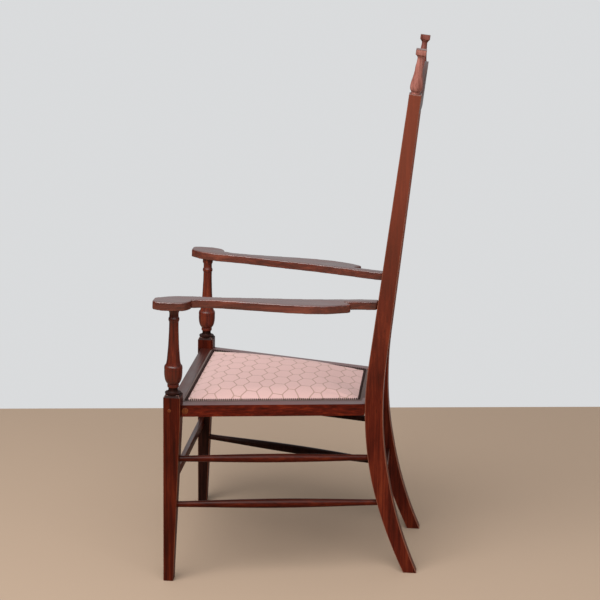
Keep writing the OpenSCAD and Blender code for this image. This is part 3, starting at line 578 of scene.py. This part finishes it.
# Seat rails. Four mahogany rails laid flat, tenoned into the legs and posts and rebated inside
# for the upholstery, so that their polished tops show all round it.
# Painted reflection: the rails' tops take a pale greyish tone for the pale room they mirror.
side_wood = mahogany("mahogany side rails", "Y", (0.036, 0.004, 0.0018), (0.095, 0.0095, 0.004),
                     (0.20, 0.026, 0.007), seed=5.9, sheen=(0.09, 1.0), painted_top_tone=(0.10, 0.055, 0.057))
# The side rails' arrises: lighter, partly wear and partly painted highlight.
worn_and_lit_side = mahogany("worn mahogany side rail with painted highlight", "Y", *worn_and_lit_tones, polish=0.3)
for hand in ("left", "right"):
    dress_node("side_seat_rail_" + hand, [side_wood, worn_and_lit_side])
dress_node("front_seat_rail", [cross_wood, worn_and_lit_cross])
dress_node("rear_seat_rail", [cross_wood, worn_and_lit_cross])


# Corner blocks. Four of pale hardwood, sawn to shape and glued into the corners of the seat
# frame under the upholstery.
block_wood = mahogany("pale hardwood blocks", "X", (0.22, 0.13, 0.06), (0.38, 0.24, 0.12),
                      (0.50, 0.34, 0.18), 0.7, seed=8.8)
dress_node("corner_blocks", [block_wood, block_wood])


# Screws and plugs. The screws are bright steel, driven through the legs and rails into the
# joints, and each is hidden under a turned plug of paler mahogany, glued in.
def steel(name, colour, roughness):
    metal, tree, shader = new_material(name)
    shader.inputs["Metallic"].default_value = 1.0
    shader.inputs["Roughness"].default_value = roughness
    place = add(tree, "TexCoord")
    pattern = add(tree, "TexNoise", Scale=900.0, Detail=3.0)
    link(tree, place.outputs["Object"], pattern.inputs["Vector"])
    shade = ramp(tree, pattern.outputs["Fac"], [(0.3, [c * 0.7 for c in colour]), (0.7, colour)])
    link(tree, shade, shader.inputs["Base Color"])
    return metal


screw_steel = steel("screw steel", (0.55, 0.54, 0.52), 0.35)
plug_wood = mahogany("paler mahogany plugs", "Z", (0.07, 0.014, 0.005), (0.14, 0.032, 0.009),
                     (0.24, 0.065, 0.018), 0.4, seed=9.1)
screw_ease = 0.0003
plug_ease = 0.0004
dress_node("joint_screws", [screw_steel, screw_steel], screw_ease, 2)
dress_node("screw_plugs", [plug_wood, plug_wood], plug_ease, 2)


# Arms. Sawn from mahogany board to a hand pad, a notched waist and a narrow tongue, with well
# rounded edges. Each is pinned on its support and tenoned into its post.
# Painted reflection: the arms' tops take a pale greyish tone for the pale room they mirror, and their
# sheen is raised.
arm_wood = mahogany("mahogany arms", "Y", (0.045, 0.010, 0.006), (0.105, 0.020, 0.011),
                    (0.20, 0.045, 0.022), 0.3, seed=6.6, sheen=(0.7, 1.0), painted_top_tone=(0.09, 0.058, 0.058))
arm_grid = 0.0017
wear_turns = 10
wear_share = 0.5
for hand in ("left", "right"):
    arm = paint_node("arm_" + hand, [arm_wood])
    skin = arm.modifiers.new("one skin", "REMESH")
    skin.mode = "VOXEL"
    skin.voxel_size = arm_grid
    skin.use_smooth_shade = True
    worn = arm.modifiers.new("worn round by hands", "SMOOTH")
    worn.factor = wear_share
    worn.iterations = wear_turns


# The back. A lower rail, five plain slats and an arched crest rail, bowed backwards, all in
# mahogany and tenoned between the posts.
slat_ease = 0.0009
crest_ease = 0.0018
dress_node("lower_back_rail", [cross_wood, worn_and_lit_cross])
dress_node("back_slats", [post_wood, worn_and_lit_upright], slat_ease)
dress_node("crest_rail", [cross_wood, worn_and_lit_cross], crest_ease)


# Webbing. Eight straps of striped jute webbing, four from front to back and four from side to
# side, woven through each other and tacked down in the rails' rebate to carry the seat.
rail_front_half = 0.233
rail_rear_half = 0.1445
show_wood = 0.024
rebate_depth = 0.005
web_width = 0.050
web_thick = 0.0009
web_step = 0.0011
web_margin = 0.002
web_lift = 0.0006
strap_count = 4
strap_pieces = 96
front_strap_pitch = web_width * 1.8
rear_strap_pitch = web_width * 1.08
cross_start = 0.7
cross_spare = 0.4
crossing_reach = 0.62
crossing_rise = 2.2
front_rail_set = 0.793
front_rail_gap = 0.002
rear_rail_share = 1 / 3
seat_front_y = leg_axis_y + leg_side / 2
rail_length = (leg_spacing - leg_side / 2 - post_depth_seat / 2) / math.cos(seat_tilt)
rail_angle = math.atan((rail_front_half - rail_rear_half) / rail_length)
area_front = show_wood + front_rail_gap - leg_side * front_rail_set
area_rear = rail_length - show_wood * rear_rail_share
area_length = area_rear - area_front
seat_place = (Matrix.Translation((0, seat_front_y, rail_top))
              @ Matrix.Rotation(-seat_tilt, 4, "X"))
long_web_height = web_lift - rebate_depth
cross_web_height = long_web_height + web_step


def area_half(y, margin):
    """Half the width of the upholstered area, drawn in by a margin from the show-wood."""
    return (rail_front_half - y * math.tan(rail_angle)
            - (show_wood + margin) / math.cos(rail_angle))


def woven(name, pitch, make_colour, roughness=0.95, depth=0.0002, sheen=0.0):
    """Plain-woven cloth: threads crossing at a pitch, over a colour made from the place."""
    cloth, tree, shader = new_material(name)
    place = add(tree, "TexCoord")
    x, y, _ = parts_of(tree, place.outputs["Object"])
    turns = 2 * math.pi / pitch
    threads = calc(tree, "MULTIPLY", calc(tree, "SINE", calc(tree, "MULTIPLY", x, turns)),
                   calc(tree, "SINE", calc(tree, "MULTIPLY", y, turns)))
    height = calc(tree, "MULTIPLY_ADD", threads, 0.5, 0.5)
    fuzz = add(tree, "TexNoise", Scale=1.1 / pitch, Detail=3.0)
    link(tree, place.outputs["Object"], fuzz.inputs["Vector"])
    link(tree, make_colour(tree, place, x, y, height, fuzz.outputs["Fac"]),
         shader.inputs["Base Color"])
    bump = add(tree, "Bump", Strength=0.35, Distance=depth)
    link(tree, calc(tree, "MULTIPLY_ADD", fuzz.outputs["Fac"], 0.5, height), bump.inputs["Height"])
    link(tree, bump.outputs["Normal"], shader.inputs["Normal"])
    shader.inputs["Roughness"].default_value = roughness
    shader.inputs["Sheen Weight"].default_value = sheen
    shader.inputs["IOR"].default_value = 1.3
    return cloth


def jute_colour(tree, place, x, y, height, fuzz):
    """Straw-brown jute with a dark stripe near each edge of the strap."""
    across = parts_of(tree, place.outputs["UV"])[0]
    from_edge = calc(tree, "PINGPONG", across, 0.5)
    near = calc(tree, "ABSOLUTE", calc(tree, "SUBTRACT", from_edge, 0.14))
    stripe = calc(tree, "LESS_THAN", near, 0.03)
    straw = mixed(tree, fuzz, (0.30, 0.20, 0.10), (0.56, 0.42, 0.25))
    shaded = mixed(tree, calc(tree, "MULTIPLY", height, 0.6), (0.20, 0.13, 0.065), straw)
    return mixed(tree, calc(tree, "MULTIPLY", stripe, 0.8), shaded, (0.07, 0.045, 0.035))


jute = woven("jute webbing", 0.0022, jute_colour, depth=0.0004)


def strap(mesh, layer, middle_line, half_line, height_line):
    """Adds one strap: the three functions give its middle, half width and height along it."""
    thick = web_thick / 2
    rings = []
    for k in range(strap_pieces + 1):
        share = k / strap_pieces
        middle, aside = middle_line(share), half_line(share)
        high = height_line(share)
        ring = [mesh.verts.new(seat_place @ Vector((middle + aside * way).to_tuple()
                                                   + (high + up * thick,)))
                for way, up in ((-1, -1), (1, -1), (1, 1), (-1, 1))]
        rings.append((share, ring))
    marks = (0.0, 1.0, 1.0, 0.0)
    for (a, low), (b, high) in zip(rings, rings[1:]):
        for k in range(4):
            n = (k + 1) % 4
            face = mesh.faces.new((low[k], low[n], high[n], high[k]))
            for loop, spot in zip(face.loops, ((marks[k], a), (marks[n], a), (marks[n], b),
                                               (marks[k], b))):
                loop[layer].uv = spot
    for share, ring in (rings[0], rings[-1]):
        face = mesh.faces.new(ring)
        for loop, mark in zip(face.loops, marks):
            loop[layer].uv = (mark, share)


def long_x(i, share):
    """Place across the seat of a lengthwise strap, which fans out towards the front."""
    pitch = front_strap_pitch + (rear_strap_pitch - front_strap_pitch) * share
    return (i - (strap_count - 1) / 2) * pitch


def cross_y(i):
    """Place along the seat of a crosswise strap."""
    return area_front + area_length * (i + cross_start) / (strap_count + cross_spare)


def weave(spot, crossings, first):
    """0 where a strap stays in its own layer, 1 where it changes places with the other layer."""
    for k, crossing in enumerate(crossings):
        near = 1 - abs(spot - crossing) / (web_width * crossing_reach)
        if near > 0 and (k + first) % 2:
            return min(1.0, near * crossing_rise)
    return 0.0


mesh = bmesh.new()
layer = mesh.loops.layers.uv.new("strap")
y0, y1 = area_front + web_margin, area_rear - web_margin
for i in range(strap_count):
    strap(mesh, layer,
          lambda share, i=i: Vector((long_x(i, share), y0 + (y1 - y0) * share)),
          lambda share: Vector((web_width / 2, 0)),
          lambda share, i=i: long_web_height + web_step * weave(
              y0 + (y1 - y0) * share, [cross_y(k) for k in range(strap_count)], i))
make_piece("lengthwise_straps", mesh, [jute], "webbing_lengthwise")

mesh = bmesh.new()
layer = mesh.loops.layers.uv.new("strap")
lean_in = web_width / 2 * math.tan(rail_angle)
for i in range(strap_count):
    y = cross_y(i)
    half = area_half(y, web_margin)
    share = (y - area_front) / area_length
    strap(mesh, layer,
          lambda part, y=y, half=half: Vector((half * (2 * part - 1), y)),
          lambda part: Vector((lean_in * (1 - 2 * part), web_width / 2)),
          lambda part, half=half, share=share, i=i: cross_web_height - web_step * weave(
              half * (2 * part - 1), [long_x(k, share) for k in range(strap_count)], i))
make_piece("crosswise_straps", mesh, [jute], "webbing_crosswise")


# Webbing tacks. Small tacks of blued steel, two through each end of every strap, hammered into
# the rails' rebate.
tack_ease = 0.0001
blued = steel("blued steel", (0.045, 0.05, 0.065), 0.4)
dress_node("webbing_tacks", [blued, blued], tack_ease, 1)


# Hessian. One sheet of coarse brown jute cloth, stretched over the webbing and tacked down at
# its edges, to hold the stuffing up.
hessian_height = -0.0024
hessian_thick = 0.0006


def area_outline(margin):
    """The four corners of the upholstered area, drawn in by a margin, in the seat's own frame."""
    front, rear = area_front + margin, area_rear - margin
    return [Vector((side * area_half(y, margin), y))
            for side, y in ((-1, front), (1, front), (1, rear), (-1, rear))]


def hessian_colour(tree, place, x, y, height, fuzz):
    thread = mixed(tree, fuzz, (0.30, 0.20, 0.10), (0.52, 0.39, 0.22))
    # Painted shade: darker in the hollows between the threads.
    return mixed(tree, calc(tree, "MULTIPLY_ADD", height, 0.8, 0.2), (0.07, 0.045, 0.02), thread)


hessian_cloth = woven("hessian", 0.0026, hessian_colour, depth=0.0005)
mesh = bmesh.new()
stack(mesh, [[seat_place @ Vector((*corner, height)) for corner in area_outline(web_margin)]
             for height in (hessian_height, hessian_height + hessian_thick)])
hessian_sheet = make_piece("hessian_sheet", mesh, [hessian_cloth], "hessian")


# Stuffing. A crowned pad of hair under the cover, flat where it lies on the hessian. The cloth
# simulation swells its top against the tied-down rim, and the crown is set to its real height.
crown_height = 0.020
cloth_gap = 0.0001
stuffing_base = hessian_height + hessian_thick + cloth_gap
cover_thick = 0.0009
cover_gap = 0.0003
gimp_width = 0.012
stuffing_margin = gimp_width + 0.002
pad_columns = 60
pad_rows = 54
first_share = 0.85
swell_moments = 20
most_swell = 0.004
far_power = 0.13
near_power = 0.32
slack_far = 0.775
slack_skew = 0.21
slack_reach = 0.085
slack_least = 0.20
slack_more = 0.68
top_height = crown_height - cover_thick - cover_gap
first_rise = first_share * (top_height - stuffing_base)


def pad_point(i, j, rise):
    """A point of the pad's grid in the seat's own frame, with the swell of a tied-down pad that
    has gone slack towards its rear edge."""
    u, v = i / pad_columns, j / pad_rows
    y = area_front + stuffing_margin + (area_length - 2 * stuffing_margin) * v
    side_power = far_power + (near_power - far_power) * u
    swell = (4 * u * (1 - u)) ** side_power * (4 * v * (1 - v)) ** near_power
    past = min(max((v - slack_far - slack_skew * u) / slack_reach, 0.0), 1.0)
    swell *= 1 - (slack_least + slack_more * u) * past ** 2 * (3 - 2 * past)
    return Vector(((2 * u - 1) * area_half(y, stuffing_margin), y, stuffing_base + rise * swell))


def is_rim(i, j):
    """True on the pad's edge, which is tied down."""
    return i in (0, pad_columns) or j in (0, pad_rows)


def fibre_colour(tree, place, x, y, height, fuzz):
    return mixed(tree, fuzz, (0.42, 0.36, 0.28), (0.74, 0.68, 0.58))


fibre = woven("white fibre wadding", 0.003, fibre_colour, depth=0.0006)
mesh = bmesh.new()
top_grid = {(i, j): mesh.verts.new(seat_place @ pad_point(i, j, first_rise))
            for j in range(pad_rows + 1) for i in range(pad_columns + 1)}
low_grid = {key: top_grid[key] if is_rim(*key) else mesh.verts.new(seat_place @ pad_point(*key, 0))
            for key in top_grid}
for j in range(pad_rows):
    for i in range(pad_columns):
        ring = [(i, j), (i + 1, j), (i + 1, j + 1), (i, j + 1)]
        mesh.faces.new([top_grid[key] for key in ring])
        mesh.faces.new([low_grid[key] for key in reversed(ring)])
mesh.verts.index_update()
top_index = {key: vert.index for key, vert in top_grid.items()}
low_index = [vert.index for vert in low_grid.values()]
pad = make_piece("hair_stuffing", mesh, [fibre], "seat_stuffing", crease=180)

held = pad.vertex_groups.new(name="tied down")
held.add(low_index, 1.0, "REPLACE")
cloth = pad.modifiers.new("filling", "CLOTH")
cloth.settings.quality = 6
cloth.settings.mass = 0.2
cloth.settings.tension_stiffness = 20
cloth.settings.compression_stiffness = 20
cloth.settings.use_pressure = True
cloth.settings.uniform_pressure_force = 4
cloth.settings.effector_weights.gravity = 0
cloth.settings.vertex_group_mass = held.name
cloth.point_cache.frame_end = swell_moments
for moment in range(1, swell_moments + 1):
    bpy.context.scene.frame_set(moment)
swollen = pad.evaluated_get(bpy.context.evaluated_depsgraph_get()).data
moved = [v.co.copy() for v in swollen.vertices]
pad.modifiers.remove(cloth)
bpy.context.scene.frame_set(1)
for vert, goal in zip(pad.data.vertices, moved):
    step = goal - vert.co
    if step.length > most_swell:
        step *= most_swell / step.length
    vert.co += step
into_seat = seat_place.inverted()
middle = pad.data.vertices[top_index[(pad_columns // 2, pad_rows // 2)]]
stretch = (top_height - stuffing_base) / ((into_seat @ middle.co).z - stuffing_base)
for index in top_index.values():
    spot = into_seat @ pad.data.vertices[index].co
    spot.z = stuffing_base + (spot.z - stuffing_base) * stretch
    pad.data.vertices[index].co = seat_place @ spot


# Seat cover. One sheet of pale pink cloth with a honeycomb trellis, drawn tight over the
# stuffing and tacked down in the rebate, where its edge lies flat under the gimp.
cover_rise = 0.0005
cover_edge_rise = 0.0002
same_spot = 0.00002
column_pitch = 0.0611
row_pitch = 0.048
first_column_y = -0.1871
first_row_x = -0.008
widest_cell = 0.019
narrowest_cell = 0.008
line_half = 0.0010


def trellis_colour(tree, place, x, y, height, fuzz):
    """Zigzag lines in mirrored pairs, joined by short links into a honeycomb."""
    off_column = calc(tree, "PINGPONG", calc(tree, "SUBTRACT", y, first_column_y), column_pitch / 2)
    off_row = calc(tree, "PINGPONG", calc(tree, "SUBTRACT", x, first_row_x), row_pitch / 2)
    slant = calc(tree, "DIVIDE", off_row, row_pitch / 2)
    curl = calc(tree, "MULTIPLY_ADD", calc(tree, "COSINE", calc(tree, "MULTIPLY", slant, math.pi)),
                -0.5, 0.5)
    share = calc(tree, "MULTIPLY_ADD", slant, 0.65, calc(tree, "MULTIPLY", curl, 0.35))
    line_at = calc(tree, "MULTIPLY_ADD", share, narrowest_cell - widest_cell, widest_cell)
    from_line = calc(tree, "SUBTRACT", off_column, line_at)
    zigzag = calc(tree, "SUBTRACT", 1.0, calc(tree, "SMOOTH_MIN", 1.0, calc(
        tree, "DIVIDE", calc(tree, "ABSOLUTE", from_line), 2 * line_half), 0.3))
    inside = calc(tree, "LESS_THAN", from_line, 0.0)
    narrow_row = calc(tree, "GREATER_THAN", off_row, row_pitch / 2 - line_half)
    wide_row = calc(tree, "LESS_THAN", off_row, line_half)
    links = calc(tree, "ADD", calc(tree, "MULTIPLY", narrow_row, inside),
                 calc(tree, "MULTIPLY", wide_row, calc(tree, "SUBTRACT", 1.0, inside)))
    ink = calc(tree, "MAXIMUM", calc(tree, "MULTIPLY", zigzag, 1.5), links)
    ink = calc(tree, "MINIMUM", ink, 0.95)
    ground = mixed(tree, fuzz, (0.54, 0.345, 0.325), (0.66, 0.45, 0.425))
    # Painted shade: darker in the hollows between the threads.
    ground = mixed(tree, calc(tree, "MULTIPLY_ADD", height, 0.5, 0.5), (0.47, 0.29, 0.27), ground)
    return mixed(tree, ink, ground, (0.33, 0.215, 0.17))


trellis = woven("pink trellis cloth", 0.0008, trellis_colour, 0.85, 0.00012, sheen=0.2)
rim_steps = (stuffing_margin - 0.0008, 0.0090, 0.0060, web_margin + 0.0005)
mesh = bmesh.new()
grid = {}
rim_count = len(rim_steps)
seat_up = seat_place.to_3x3() @ Vector((0, 0, 1))
for (i, j), index in top_index.items():
    spot = pad.data.vertices[index]
    out = seat_up if is_rim(i, j) else spot.normal
    grid[(i + rim_count, j + rim_count)] = spot.co + out * cover_rise
wide, deep = pad_columns + 2 * rim_count, pad_rows + 2 * rim_count
for ring, margin in enumerate(reversed(rim_steps)):
    for j in range(ring, deep - ring + 1):
        for i in range(ring, wide - ring + 1):
            if i in (ring, wide - ring) or j in (ring, deep - ring):
                u = min(max((i - rim_count) / pad_columns, 0.0), 1.0)
                v = min(max((j - rim_count) / pad_rows, 0.0), 1.0)
                y = area_front + margin + (area_length - 2 * margin) * v
                grid[(i, j)] = seat_place @ Vector(
                    ((2 * u - 1) * area_half(y, margin), y, stuffing_base + cover_edge_rise))
verts = {key: mesh.verts.new(spot) for key, spot in grid.items()}
for j in range(deep):
    for i in range(wide):
        corners = []
        for key in ((i, j), (i + 1, j), (i + 1, j + 1), (i, j + 1)):
            if verts[key] not in corners:
                corners.append(verts[key])
        mesh.faces.new(corners)
bmesh.ops.remove_doubles(mesh, verts=mesh.verts, dist=same_spot)
cover = make_piece("trellis_cover", mesh, [trellis], "seat_cover", crease=180)
thick = cover.modifiers.new("cloth thickness", "SOLIDIFY")
thick.thickness = cover_thick / 2
thick.offset = 1
smooth = cover.modifiers.new("smooth cloth", "SUBSURF")
smooth.levels = smooth.render_levels = 1


# Gimp. A woven braid glued over the tacked edge of the cover: a flat brown tape with a cord down
# its middle, and a row of dark brown loops along its inner edge.
loop_pitch = 0.0048
gimp_step = 0.0006
gimp_gap = 0.0004
gimp_base = stuffing_base + cover_thick + gimp_gap
corner_round = 0.004
corner_pieces = 8
tape_half = 0.0042
tape_half_thick = 0.0003
cord_half_wide = 0.0009
cord_half_high = 0.0007
cord_sides = 7
loop_sides = 10
loop_levels = 4
loop_inward = 0.0022
loop_half_along = 0.0018
loop_half_across = 0.0031
loop_high = 0.0047


def gimp_line():
    """Places along the middle of the braid, with the way in towards the seat's middle."""
    corners = area_outline(gimp_width / 2)
    rounded = []
    for k in range(4):
        before = (corners[k - 1] - corners[k]).normalized() * corner_round
        after = (corners[(k + 1) % 4] - corners[k]).normalized() * corner_round
        for n in range(corner_pieces + 1):
            t = n / corner_pieces
            rounded.append(corners[k] + before * (1 - t) ** 2 + after * t ** 2)
    total = sum((b - a).length for a, b in zip(rounded, rounded[1:] + rounded[:1]))
    count = round(total / loop_pitch) * round(loop_pitch / gimp_step)
    spots, k, gone = [], 0, 0.0
    loop = rounded + rounded[:1]
    for n in range(count):
        want = total * n / count
        while gone + (loop[k + 1] - loop[k]).length < want:
            gone += (loop[k + 1] - loop[k]).length
            k += 1
        way = (loop[k + 1] - loop[k]).normalized()
        spots.append(loop[k] + way * (want - gone))
    line = []
    for n, spot in enumerate(spots):
        way = (spots[(n + 3) % count] - spots[n - 3]).normalized()
        line.append((spot, Vector((-way.y, way.x))))
    return line


def cord_round(mesh, line, inward_by, height, half_wide, half_high):
    """Adds an endless cord along the line, off to the seat's side and up from the braid's base."""
    rings = []
    for spot, inward in line:
        ring = []
        for k in range(cord_sides):
            angle = 2 * math.pi * k / cord_sides
            flat = spot + inward * (inward_by + half_wide * math.cos(angle))
            ring.append(mesh.verts.new(seat_place @ Vector(
                (flat.x, flat.y, gimp_base + height + half_high * math.sin(angle)))))
        rings.append(ring)
    for low, high in zip(rings, rings[1:] + rings[:1]):
        for k in range(cord_sides):
            n = (k + 1) % cord_sides
            mesh.faces.new((low[k], low[n], high[n], high[k]))


def braid_loop(mesh, spot, inward):
    """Adds one loop of the braid: a small domed knot that lies across the braid's inner edge."""
    along = Vector((inward.y, -inward.x))
    outlines = []
    for level in range(loop_levels):
        rise = math.pi / 2 * level / loop_levels
        girth = math.sqrt(math.cos(rise))
        outline = []
        for k in range(loop_sides):
            angle = 2 * math.pi * k / loop_sides
            flat = (spot + inward * (loop_inward + loop_half_across * girth * math.cos(angle))
                    + along * loop_half_along * girth * math.sin(angle))
            outline.append(seat_place @ Vector(
                (flat.x, flat.y, gimp_base + loop_high * math.sin(rise))))
        outlines.append(outline)
    stack(mesh, outlines)


def loop_colour(tree, place, x, y, height, fuzz):
    return mixed(tree, fuzz, (0.012, 0.006, 0.005), (0.045, 0.022, 0.020))


def tape_colour(tree, place, x, y, height, fuzz):
    return mixed(tree, fuzz, (0.075, 0.050, 0.045), (0.17, 0.125, 0.115))


loop_cloth = woven("dark brown braid", 0.0006, loop_colour, 0.9, 0.0002)
tape_cloth = woven("brown braid tape", 0.0006, tape_colour, 0.8, 0.0001)
line = gimp_line()
mesh = bmesh.new()
tape_inward = tape_half - gimp_width / 2
cord_round(mesh, line, tape_inward, tape_half_thick, tape_half, tape_half_thick)
cord_round(mesh, line, tape_inward, 3 * tape_half_thick, cord_half_wide, cord_half_high)
make_piece("gimp_tape", mesh, [tape_cloth], "gimp_braid", crease=60)
mesh = bmesh.new()
for spot, inward in line[::round(loop_pitch / gimp_step)]:
    braid_loop(mesh, spot, inward)
make_piece("gimp_loops", mesh, [loop_cloth], "gimp_braid", crease=60)


# The room: a plain pale floor that ends at a pale backdrop, soft lamps, and the camera at the
# chair's left side.
wall_x = -1.033
wall_slant = -0.131
floor_reach = 6.0
floor_colour = (0.375, 0.28, 0.207)
mesh = bmesh.new()
for x, y in ((wall_x - wall_slant * floor_reach, -floor_reach), (floor_reach, -floor_reach),
             (floor_reach, floor_reach), (wall_x + wall_slant * floor_reach, floor_reach)):
    mesh.verts.new((x, y, 0))
mesh.faces.new(mesh.verts)
floor_mesh = bpy.data.meshes.new("floor")
mesh.to_mesh(floor_mesh)
mesh.free()
pale_floor, _, shader = new_material("pale floor")
shader.inputs["Base Color"].default_value = (*floor_colour, 1)
shader.inputs["Roughness"].default_value = 0.95
shader.inputs["Specular IOR Level"].default_value = 0.1
floor_mesh.materials.append(pale_floor)
floor = bpy.data.objects.new("floor", floor_mesh)
bpy.context.scene.collection.objects.link(floor)


def studio_world(backdrop, overhead, low, wall):
    """A pale backdrop, pale walls behind and to the right that polished wood mirrors, and a light
    on the chair that is full from overhead and low from the sides."""
    world = bpy.data.worlds.new("studio")
    world.use_nodes = True
    tree = world.node_tree
    rays = add(tree, "LightPath")
    x, y, z = parts_of(tree, add(tree, "TexCoord").outputs["Generated"])
    above = spread(tree, z, 0.25, 0.75, low, overhead)
    walls = spread(tree, calc(tree, "SUBTRACT", y, x), 0.15, 0.7, 0.0, wall)
    mirrored = calc(tree, "MULTIPLY", walls, rays.outputs["Is Glossy Ray"])
    level = calc(tree, "MAXIMUM", above, mirrored)
    level = calc(tree, "MAXIMUM", level, rays.outputs["Is Camera Ray"])
    back = tree.nodes["Background"]
    back.inputs["Color"].default_value = (*backdrop, 1)
    link(tree, level, back.inputs["Strength"])
    bpy.context.scene.world = world


studio_world((0.70, 0.71, 0.72), 0.95, 0.12, 0.9)


def lamp(name, place, aim, size, power, colour=(1, 1, 1)):
    """A wide soft lamp at a place, turned towards another."""
    light = bpy.data.lights.new(name, "AREA")
    light.shape = "RECTANGLE"
    light.size, light.size_y = size
    light.energy = power
    light.color = colour
    made = bpy.data.objects.new(name, light)
    made.location = place
    made.rotation_euler = (Vector(aim) - Vector(place)).to_track_quat("-Z", "Y").to_euler()
    bpy.context.scene.collection.objects.link(made)


lamp("window", (1.9, -1.0, 3.2), (0, 0, 0.4), (3.0, 2.6), 150, (1.0, 0.97, 0.94))
lamp("fill", (2.8, 1.6, 3.0), (0, 0, 0.5), (2.6, 2.2), 50)

camera_place = Vector((3.47246, leg_axis_y + 0.62427, 1.56441))
camera_turn = math.radians(5.895)
camera_pitch = math.radians(15.046)
camera_roll = math.radians(0.336)
camera_nudge = Vector((0.0007, 0.0009, 0))
focal_pixels = 1512.72
photo_pixels = 600
camera = bpy.data.objects.new("camera", bpy.data.cameras.new("camera"))
camera.data.sensor_width = 36
camera.data.lens = focal_pixels * camera.data.sensor_width / photo_pixels
look = Vector((-math.cos(camera_pitch) * math.cos(camera_turn),
               -math.cos(camera_pitch) * math.sin(camera_turn), -math.sin(camera_pitch)))
aim = look.to_track_quat("-Z", "Y").to_matrix().to_4x4() @ Matrix.Rotation(camera_roll, 4, "Z")
camera.matrix_world = Matrix.Translation(camera_place) @ aim @ Matrix.Translation(camera_nudge)
bpy.context.scene.collection.objects.link(camera)
bpy.context.scene.camera = camera
bpy.context.scene.view_settings.view_transform = "Standard"
